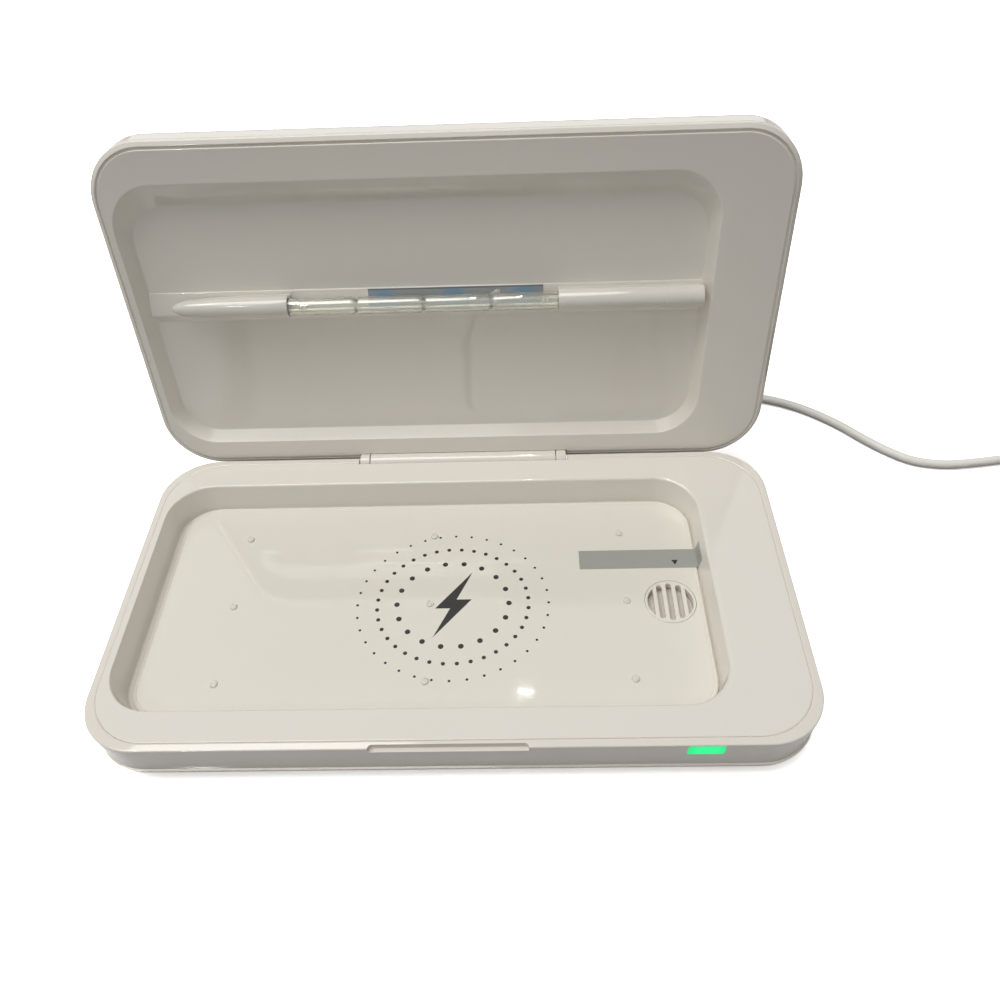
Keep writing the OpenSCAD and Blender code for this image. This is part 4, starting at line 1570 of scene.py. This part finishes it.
@dataclass
class Lamp:
    """The segmented lamp on the lid's ridge, with its covers, shaped closed."""

    y: float = -4.3
    z: float = 23.4
    left: float = -55.2
    bulb: float = 22.9
    bulbs: int = 4
    radius: float = 3.0
    neck: float = 2.35
    neck_step: float = 0.28  # between two rings of a neck
    glass: float = 0.9
    buried: float = 5.0  # length of the tube inside each cover
    cover: float = 3.7
    ridge: float = 26.7
    pip: tuple[Place, ...] = (
        (13.2, -1.6, 1.0), (13.4, -2.3, 0.95), (14.0, -3.0, 0.85), (14.9, -3.5, 0.85),
        (15.8, -3.8, 0.8), (16.4, -4.0, 0.55), (16.7, -4.1, 0.2),
    )
    nose: float = -95.5  # tip of the left cover
    nose_rings: tuple[Flat, ...] = (
        (0.0, 0.3), (0.15, 0.62), (0.5, 1.0), (1.1, 1.4), (2.2, 1.95), (3.9, 2.42), (6.2, 2.72),
        (9.2, 2.97), (12.8, 3.2), (17.0, 3.4), (22.0, 3.55), (28.0, 3.66), (33.0, 3.7),
    )
    step: tuple[Flat, ...] = ((72.2, 0.0), (72.3, 0.12), (84.4, 0.12), (84.6, 0.0))
    edge: tuple[Flat, ...] = ((0.0, 0.22), (0.07, 0.07), (0.25, 0.0))  # of a cover's mouth
    bore: float = 9.0  # how deep the tube's hole in a cover is
    strip_ends: Flat = (-28.6, 31.2)
    strip_thick: float = 0.12

    @property
    def right(self) -> float:
        """Gives the right end of the part in view."""
        return self.left + self.bulbs * self.bulb - 0.3

    @property
    def axis(self) -> Place:
        """Gives the lamp's middle line."""
        return (0.0, self.y, self.z)

    def profile(self, less: float, start: float, end: float) -> list[Flat]:
        """Gives the outline of the glass, or of its hollow.

        Args:
            less: How much smaller than the glass it is.
            start: The left end.
            end: The right end.

        Returns:
            Radii and their places along the lamp.
        """
        dome = [(0.9, 0.0), (0.25, 0.3), (0.0, 1.1)]
        rings = [(self.radius - dip, start + along) for dip, along in dome]
        for i in range(1, self.bulbs):
            middle = self.left + i * self.bulb
            for k in range(-5, 6):
                dip = (self.radius - self.neck) * (0.5 + 0.5 * math.cos(math.pi * k / 5)) ** 1.2
                rings.append((self.radius - dip, middle + self.neck_step * k))
        rings += [(self.radius - dip, end - along) for dip, along in reversed(dome)]
        return [(radius - less, x) for radius, x in rings]

    def tube(self) -> None:
        """Builds the glass with its three necks and the pip where it was sealed."""
        x0, x1 = self.left - self.buried, self.right + self.buried
        form = Form("lamp_tube").turned(self.profile(0.0, x0, x1), axis=Axis.X, at=self.axis)
        rows = []
        for i, (x, y, radius) in enumerate(self.pip):
            near, far = self.pip[max(i - 1, 0)], self.pip[min(i + 1, len(self.pip) - 1)]
            along = Vector((far[0] - near[0], far[1] - near[1], 0.0)).normalized()
            side, out = Vector((-along.y, along.x, 0.0)) * radius, Vector((0.0, 0.0, radius))
            middle = Vector((x, self.y + y, self.z))
            turns = [2 * math.pi * k / 16 for k in range(16)]
            rows.append([middle + side * math.cos(turn) + out * math.sin(turn) for turn in turns])
        form.join(Form("pip").skin(rows))
        hollow = self.profile(self.glass, x0 + 2, x1 - 2)
        form.turned(hollow, cavity=True, axis=Axis.X, at=self.axis)
        place(form, LAMP_GLASS, Body.LID, Slot.GLASS, "lamp_tube")

    def electrodes(self) -> None:
        """Builds the electrode at each end: sleeved leads, a shield ring and a coiled filament."""
        form = Form("electrodes")
        for side, tip in ((1, self.left - self.buried), (-1, self.right + self.buried)):

            def bar(radius: float, near: float, far: float, off: float = 0.0) -> None:
                """Adds a round bar along the lamp, inward of the tube's end."""
                x0, x1 = sorted((tip + side * near, tip + side * far))
                form.rod(radius, x0, x1, Axis.X, (0, self.y + off, self.z), 0.1)

            bar(0.4, -1.5, 3.0)
            bar(1.9, 1.2, 2.6)
            for off in (-1.25, 1.25):
                bar(0.62, 2.4, 8.3, off)
                bar(0.22, 8.1, 10.2, off)
            x = tip + side * 8.6
            shield = [(1.9, x - 0.2), (1.9, x + 0.2), (1.6, x + 0.2), (1.6, x - 0.2)]
            form.turned(shield, closed=True, axis=Axis.X, at=self.axis)
            for i in range(6):
                y = self.y - 1.2 + i * 0.48
                form.rod(0.5, y - 0.14, y + 0.14, Axis.Y, (tip + side * 10.1, 0, self.z))
        place(form, TUNGSTEN, Body.LID, Slot.STEEL, "lamp_electrodes")

    def sleeve(self, name: str, rings: Sequence[Flat], bore: Flat) -> None:
        """Builds a round cover that stands on the ridge and takes the end of the tube.

        Args:
            name: Its name.
            rings: Places along the lamp and the cover's radius there.
            bore: Where the hole for the tube starts and ends.
        """
        y, z = self.y - 0.2, self.z + 0.15
        around = [math.radians(135 + 270 * i / 40) for i in range(41)]
        rows = []
        for x, r in rings:
            row = [(x, y + r * math.cos(angle), z + r * math.sin(angle)) for angle in around]
            rows.append([(x, row[0][1], z + 1.2 * r), *row, (x, row[-1][1], z + 1.05 * r)])
        form = Form(name).skin(rows)
        form.cut(Form("bore").rod(self.radius + 0.1, *bore, Axis.X, self.axis))
        place(form, LAMP_COVER, Body.LID, Slot.SHELL, name)

    def covers(self) -> None:
        """Builds the left cover with its drawn-out nose and the right one with its step."""
        full, end, start = self.cover, self.left, self.right
        rings = [(self.nose + along, radius) for along, radius in self.nose_rings]
        rings += [(end - along, full - less) for along, less in reversed(self.edge)]
        self.sleeve("lamp_cover_left", rings, (end - self.bore, end + PAST))
        rings = [(start + along, full - less) for along, less in self.edge]
        rings += [(x, full + more) for x, more in self.step]
        self.sleeve("lamp_cover_right", rings, (start - PAST, start + self.bore))

    def strip(self) -> None:
        """Builds the blue strip behind the lamp, on the sloping face of the ridge."""
        low, high = (self.y + 3.5, self.ridge + 0.05), (self.y - 3.8, self.ridge + 1.23)
        section = [low, high, *[(y, z - self.strip_thick) for y, z in (high, low)]]
        form = Form("lamp_strip").bar(section, *self.strip_ends)
        place(form, BLUE_STRIP, Body.LID, Slot.LAMP_STRIP, "lamp_strip")

    def build(self) -> None:
        """Builds all of the lamp."""
        self.tube()
        self.electrodes()
        self.covers()
        self.strip()


# ---------------------------------------------------------------- the cord


@dataclass
class PowerCord:
    """The supply lead from the moulded plug at the back to the coil put away beside the box."""

    thick: float = 3.7
    length: float = 1.09
    exit: Place = (80.0, 84.0, 11.0)
    middle: Flat = (241.0, 44.0)
    outer: float = 29.0
    pitch: float = 4.9
    turns: Place = (3.0, 0.5, 2.75)  # inward, climbing and outward
    low: float = 2.6
    lift: float = 4.25  # from the lower layer to the upper one
    route: tuple[Place, ...] = (
        (80, 84, 11), (80, 88, 11), (80.6, 95, 9), (84, 103, 5), (91, 108.5, 2.6),
        (100, 111.5, 1.9), (110, 112.5, 1.9), (119.5, 112, 1.9), (128.5, 110.3, 1.9),
        (138.7, 106, 1.9), (147.8, 100, 1.9), (156.3, 92.5, 1.9), (164.2, 83.8, 1.9),
        (172.1, 76.3, 1.9), (180.3, 71, 1.9), (191.4, 68.7, 1.9), (202.7, 69.3, 1.9),
        (214.2, 70.8, 1.9), (225, 72.4, 2.2), (232, 73, 2.6), (237, 73, 2.6),
    )
    tail: tuple[Place, ...] = (
        (268.775, 40, 6.85), (268.775, 38.5, 6.85), (268.775, 33, 5.4), (268.775, 27, 3.2),
        (268.975, 20, 2.4), (268.975, 13, 4), (268.975, 9, 4),
    )
    plug_grip: float = 4.3
    plug_face: float = 59.4
    plug_neck: float = 74.0
    plug_end: float = 84.0
    grooves: Place = (75.6, 78.0, 80.4)
    groove_radius: float = 2.25
    tie: float = 0.75
    tie_width: float = 8.0
    usb_x: float = 268.975
    usb_z: float = 4.0
    usb_tip: float = -35.0  # end of the metal shell
    usb_front: float = -23.0  # where it leaves the moulding

    @property
    def inner(self) -> float:
        """Gives the radius of the coil's innermost turn."""
        return self.outer - self.turns[0] * self.pitch

    def coil(self, steps: int = 36) -> list[Vector]:
        """Gives the points of the coil: inward on the table, up, and outward on top.

        Args:
            steps: Points on each turn.

        Returns:
            The points.
        """
        inward, climb, _ = self.turns
        result = []
        for i in range(int(steps * sum(self.turns)) + 1):
            turn = i / steps
            radius = self.outer - self.pitch * turn
            if turn >= inward:
                radius = self.inner + self.pitch * max(0.0, turn - inward - climb)
            share = max(0.0, min(1.0, (turn - inward) / climb))
            rise = self.lift * (1 - math.cos(math.pi * share)) / 2
            angle = math.radians(90 - 360 * turn)
            x = self.middle[0] + radius * math.cos(angle)
            y = self.middle[1] + radius * math.sin(angle)
            result.append(Vector((x, y, self.low + rise)))
        return result

    @staticmethod
    def smooth(points: Sequence[Vector], steps: int = 5) -> list[Vector]:
        """Puts an even curve through points.

        Args:
            points: The points.
            steps: New points for each stretch.

        Returns:
            The curve's points.
        """
        result = []
        for i in range(len(points) - 1):
            a, b = points[max(i - 1, 0)], points[i]
            c, d = points[i + 1], points[min(i + 2, len(points) - 1)]
            for step in range(steps):
                t = step / steps
                square, cube = 2 * a - 5 * b + 4 * c - d, 3 * b - a - 3 * c + d
                result.append(0.5 * (2 * b + (c - a) * t + square * t * t + cube * t**3))
        return [*result, points[-1]]

    def path(self) -> list[Vector]:
        """Gives all of the cord's middle line.

        Returns:
            The points of the line.
        """
        coil = self.coil()
        lead = self.smooth([Vector(point) for point in self.route] + [coil[0]])
        tail = self.smooth([Vector(point) for point in self.tail])
        return [*lead[:-1], *coil, *tail]

    def flex(self) -> bpy.types.Object:
        """Builds the cord as one curve.

        Returns:
            The cord.
        """
        data = bpy.data.curves.new("power_cord", "CURVE")
        data.dimensions = "3D"
        data.bevel_depth = self.thick / 2 * MM
        data.bevel_resolution = 5
        data.use_fill_caps = True
        line = data.splines.new("POLY")
        points = self.path()
        line.points.add(len(points) - 1)
        for spot, point in zip(line.points, points):
            spot.co = (*(point * MM), 1.0)
        line.use_smooth = True
        made = bpy.data.objects.new("power_cord", data)
        bpy.context.scene.collection.objects.link(made)
        return settle(made, JACKET, Body.BASE, Slot.CORD, ("cord_lead", "cord_coil", "cord_tail"))

    def plug(self) -> bpy.types.Object:
        """Builds the moulded plug with its grooved strain relief.

        Returns:
            The plug.
        """
        grip, face, neck = self.plug_grip, self.plug_face, self.plug_neck
        corners = [(2.9, face), (grip, face, 0.5), (grip, neck, 0.9), (3.35, neck + 0.2)]
        for start in self.grooves:
            edge = 3.4 - 0.11 * (start - neck)
            corners += [(edge, start, 0.12), (self.groove_radius, start + 0.15)]
            corners += [(self.groove_radius, start + 0.95), (edge - 0.12, start + 1.1, 0.12)]
        corners += [(2.35, self.plug_end, 0.25), (1.9, self.plug_end)]
        at = (self.exit[0], 0.0, self.exit[2])
        form = Form("power_plug").turned(corners, axis=Axis.Y, at=at)
        return place(form, CORD_MOULDING, Body.BASE, Slot.CORD, "power_plug")

    def band(self) -> bpy.types.Object:
        """Builds the woven band round the coil, with its lapped end.

        Returns:
            The band.
        """
        low, high = self.inner - self.thick / 2 - 0.3, self.outer + self.thick / 2 + 0.3
        top = self.low + self.lift + self.thick / 2 + 0.2
        width, height = high - low + 2 * self.tie, top + self.tie
        middle = self.middle[0] - (high + low) / 2
        outer = Outline(width, height, 2.2, middle, -height / 2)
        inner = outer.inset(self.tie)
        y0, y1 = self.middle[1] - self.tie_width / 2, self.middle[1] + self.tie_width / 2
        rings = [Ring(outer, y0, 0.15), Ring(outer, y1, 0.15), Ring(inner, y1), Ring(inner, y0)]
        form = Form("cord_tie").loft(rings, closed=True, axis=Axis.Y)
        low, high = (middle - 4, y0 + 0.2, height - 0.05), (middle + 2, y1 - 0.2, height + 0.5)
        form.block(low, high, 0.8, 0.12)
        return place(form, BAND, Body.BASE, Slot.TIE, "cord_tie")

    def usb(self) -> list[bpy.types.Object]:
        """Builds the USB plug: its moulding, and the metal shell with its contact block.

        Returns:
            The three pieces.
        """
        x, y, tip, front = self.usb_x, -self.usb_z, self.usb_tip, self.usb_front
        body, neck = Outline(15, 7.8, 2.2, x, y), Outline(4.8, 4.8, 2.4, x, y)
        form = Form("usb_moulding").loft(
            [
                Ring(body.inset(1.2), front),
                Ring(body.inset(0.2), front, 0.3),
                Ring(body, front + 3, 0.0),
                Ring(body, -4.5, 0.0),
                Ring(body.inset(0.5), -1.2, 1.5),
                Ring(neck.inset(-0.4), 1.0, 0.5),
                Ring(neck, 4.0, 0.0),
                Ring(neck, 8.7, 0.3),
                Ring(neck.inset(0.6), 8.8),
            ],
            axis=Axis.Y,
        )
        moulding = place(form, CORD_MOULDING, Body.BASE, Slot.CORD, "usb_plug")
        shell = Outline(12, 4.5, 0.5, x, y)
        hollow = shell.inset(0.35)
        rings = [Ring(shell, tip, 0.1), Ring(shell, front), Ring(hollow, front), Ring(hollow, tip)]
        form = Form("usb_shell").loft(rings, closed=True, axis=Axis.Y)
        for off in (-2.8, 2.8):
            for z in (1.0, 5.6):
                low, high = (x + off - 1.1, tip + 3.0, z), (x + off + 1.1, tip + 5.4, z + 1.4)
                form.cut(Form("catch").block(low, high, 0.2))
        metal = place(form, STEEL, Body.BASE, Slot.STEEL, "usb_shell")
        low, high = (x - 5.4, tip + 0.8, 2.2), (x + 5.4, front, 3.9)
        tongue = Form("usb_tongue").block(low, high, 0.1, 0.05)
        return [moulding, metal, place(tongue, BLACK, Body.BASE, Slot.BLACK)]

    def build(self, barrel: bpy.types.Object) -> None:
        """Builds the cord and all that is on it.

        Args:
            barrel: The solid that is the plug's metal barrel. Not used.
        """
        flex = self.flex()
        on_it = [self.plug(), barrel, self.band(), *self.usb()]
        tuple(part * MM for part in self.exit)


# ---------------------------------------------------------------- inside, and the studio

CARRIED: dict[str, Finish] = {
    "charge_coil": COPPER,
    "ferrite_sheet": FERRITE,
    "charger_board": BOARD,
    "control_board": BOARD,
    "lid_sensor": BLACK,
    "indicator_board": BOARD,
    "aroma_reservoir": INNER,
    "aroma_pad": FELT,
    "power_socket": BLACK,
    "hinge_pins": STEEL,
    "lamp_grommets": GROMMET,
    "lamp_board": BOARD,
    "button_board": BOARD,
    "lid_magnet": STEEL,
    "plug_barrel": STEEL,
}


def dress_solids(nodes: dict[str, bpy.types.Object]) -> None:
    """Gives the solids that are shown as they are their finishes.

    Args:
        nodes: The frame's solids by name.
    """
    for name, finish in CARRIED.items():
        solid = nodes[name]
        if not solid.material_slots:
            solid.data.materials.append(None)
        for slot in solid.material_slots:
            slot.material = finish.material()
        log.info("%s: %s", name, finish.name)


@dataclass(frozen=True)
class RoundLight:
    """A soft round lamp: its place, what it points at, its width, power in watts and flatness."""

    name: str
    spot: Place
    width: float
    power: float
    aim: Place = (0.0, 0.0, 0.0)
    flat: float = 1.0

    def hang(self, colour: Colour) -> None:
        """Hangs the lamp.

        Args:
            colour: The colour of its light.
        """
        data = bpy.data.lights.new(self.name, "AREA")
        data.shape, data.size, data.size_y = "ELLIPSE", self.width, self.width * self.flat
        data.energy, data.color = self.power, colour
        light = bpy.data.objects.new(self.name, data)
        light.location = self.spot
        ahead = Vector(self.aim) - Vector(self.spot)
        light.rotation_euler = ahead.to_track_quat("-Z", "Y").to_euler()
        bpy.context.scene.collection.objects.link(light)


@dataclass
class Studio:
    """The camera, the pale floor and the soft light."""

    spot: Vector = Vector((0.02275, -0.16647, 0.2475))
    right: Vector = Vector((0.9995, 0.0036, -0.0327))
    up: Vector = Vector((0.0192, 0.7441, 0.6678))
    ahead: Vector = Vector((-0.0267, 0.6681, -0.7436))
    lens: float = 30.2
    sky: float = 0.3
    sky_colour: Colour = (1.0, 0.985, 0.96)
    overexposed: float = 2.6  # the floor's lightness for the camera
    mirrored: float = 1.1  # and in reflections
    bounce: float = 0.12  # and for all other light
    lift: float = 0.2  # what lights up its shadow
    lamp_colour: Colour = (1.0, 0.985, 0.955)
    lamps: tuple[RoundLight, ...] = (
        RoundLight("ceiling", (-0.55, -0.05, 1.8), 1.3, 18.0),
        RoundLight("front", (-0.7, -1.0, 1.3), 0.09, 1.2, aim=(0.0, 0.0, 0.03)),
        RoundLight("back", (0.018, 0.957, 1.8), 0.036, 0.04, flat=0.3),
        RoundLight("spot", (0.03, 0.3, 1.8), 0.05, 1.6),
        RoundLight("side", (-0.96, -0.07, 1.8), 0.12, 1.2),
    )

    def camera(self) -> None:
        """Sets up the camera at the photograph's place."""
        data = bpy.data.cameras.new("camera")
        data.lens, data.sensor_width, data.clip_start = self.lens, 36.0, 0.005
        camera = bpy.data.objects.new("camera", data)
        turn = Matrix((self.right, self.up, -self.ahead)).transposed()
        camera.matrix_world = Matrix.Translation(self.spot) @ turn.to_4x4()
        bpy.context.scene.collection.objects.link(camera)
        bpy.context.scene.camera = camera

    @staticmethod
    def by_ray(tree: bpy.types.NodeTree, base: float, shares: dict[str, float]) -> Socket:
        """Gives a number that depends on the kind of ray.

        Args:
            tree: The tree that the nodes are made in.
            base: The number for ordinary bounced light.
            shares: What is added for each kind of ray, by the light path's outputs.

        Returns:
            The number's output.
        """
        ray = tree.nodes.new("ShaderNodeLightPath")
        last = None
        for name, share in shares.items():
            part = tree.nodes.new("ShaderNodeMath")
            part.operation = "MULTIPLY_ADD"
            tree.links.new(ray.outputs[name], part.inputs[0])
            part.inputs[1].default_value = share
            if last:
                tree.links.new(last, part.inputs[2])
            else:
                part.inputs[2].default_value = base
            last = part.outputs[0]
        return last

    def floor(self) -> None:
        """Lays the pale floor, overexposed for the camera, so that only shadow shows on it."""
        work = bmesh.new()
        bmesh.ops.create_grid(work, x_segments=24, y_segments=24, size=3.0)
        mesh = bpy.data.meshes.new("floor")
        work.to_mesh(mesh)
        work.free()
        floor = bpy.data.objects.new("floor", mesh)
        bpy.context.scene.collection.objects.link(floor)
        paper = bpy.data.materials.new("pale_floor")
        paper.use_nodes = True
        tree = paper.node_tree
        tree.nodes.clear()
        matt, glow = shader_nodes(tree, "BsdfDiffuse", "Emission")
        both, output = shader_nodes(tree, "AddShader", "OutputMaterial")
        seen, mirrored = self.overexposed - self.bounce, self.mirrored - self.bounce
        shares = {"Is Camera Ray": seen, "Is Glossy Ray": mirrored, "Is Transmission Ray": seen}
        wire(
            tree,
            (self.by_ray(tree, self.bounce, shares), matt.inputs["Color"]),
            (self.by_ray(tree, 0.0, {"Is Camera Ray": self.lift}), glow.inputs["Strength"]),
            (matt.outputs[0], both.inputs[0]),
            (glow.outputs[0], both.inputs[1]),
            (both.outputs[0], output.inputs["Surface"]),
        )
        mesh.materials.append(paper)

    def world(self) -> None:
        """Sets up the pale surroundings."""
        world = bpy.data.worlds.new("studio")
        world.use_nodes = True
        tree = world.node_tree
        tree.nodes.clear()
        dim, white = shader_nodes(tree, "Background", "Background")
        mix, output = shader_nodes(tree, "MixShader", "OutputWorld")
        dim.inputs["Color"].default_value = (*self.sky_colour, 1.0)
        dim.inputs["Strength"].default_value = self.sky
        white.inputs["Color"].default_value = (1.0, 1.0, 1.0, 1.0)
        shares = {"Is Camera Ray": 1.0, "Is Glossy Ray": 1.0, "Is Transmission Ray": 1.0}
        wire(
            tree,
            (self.by_ray(tree, 0.0, shares), mix.inputs[0]),
            (dim.outputs[0], mix.inputs[1]),
            (white.outputs[0], mix.inputs[2]),
            (mix.outputs[0], output.inputs["Surface"]),
        )
        bpy.context.scene.world = world

    def build(self) -> None:
        """Lays the floor, sets up the surroundings and hangs the lamps."""
        self.floor()
        self.world()
        for lamp in self.lamps:
            lamp.hang(self.lamp_colour)


def main() -> None:
    """Builds the box, its cord and the studio."""
    logging.basicConfig(level=logging.INFO, format="%(message)s")
    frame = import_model()
    bpy.context.scene.view_settings.view_transform = "Standard"
    studio = Studio()
    studio.camera()
    PowerCord().build(frame["nodes"]["plug_barrel"])
    Base().build()
    Lid().build()
    Lamp().build()
    dress_solids(frame["nodes"])
    studio.build()


if __name__ == "__main__":
    main()
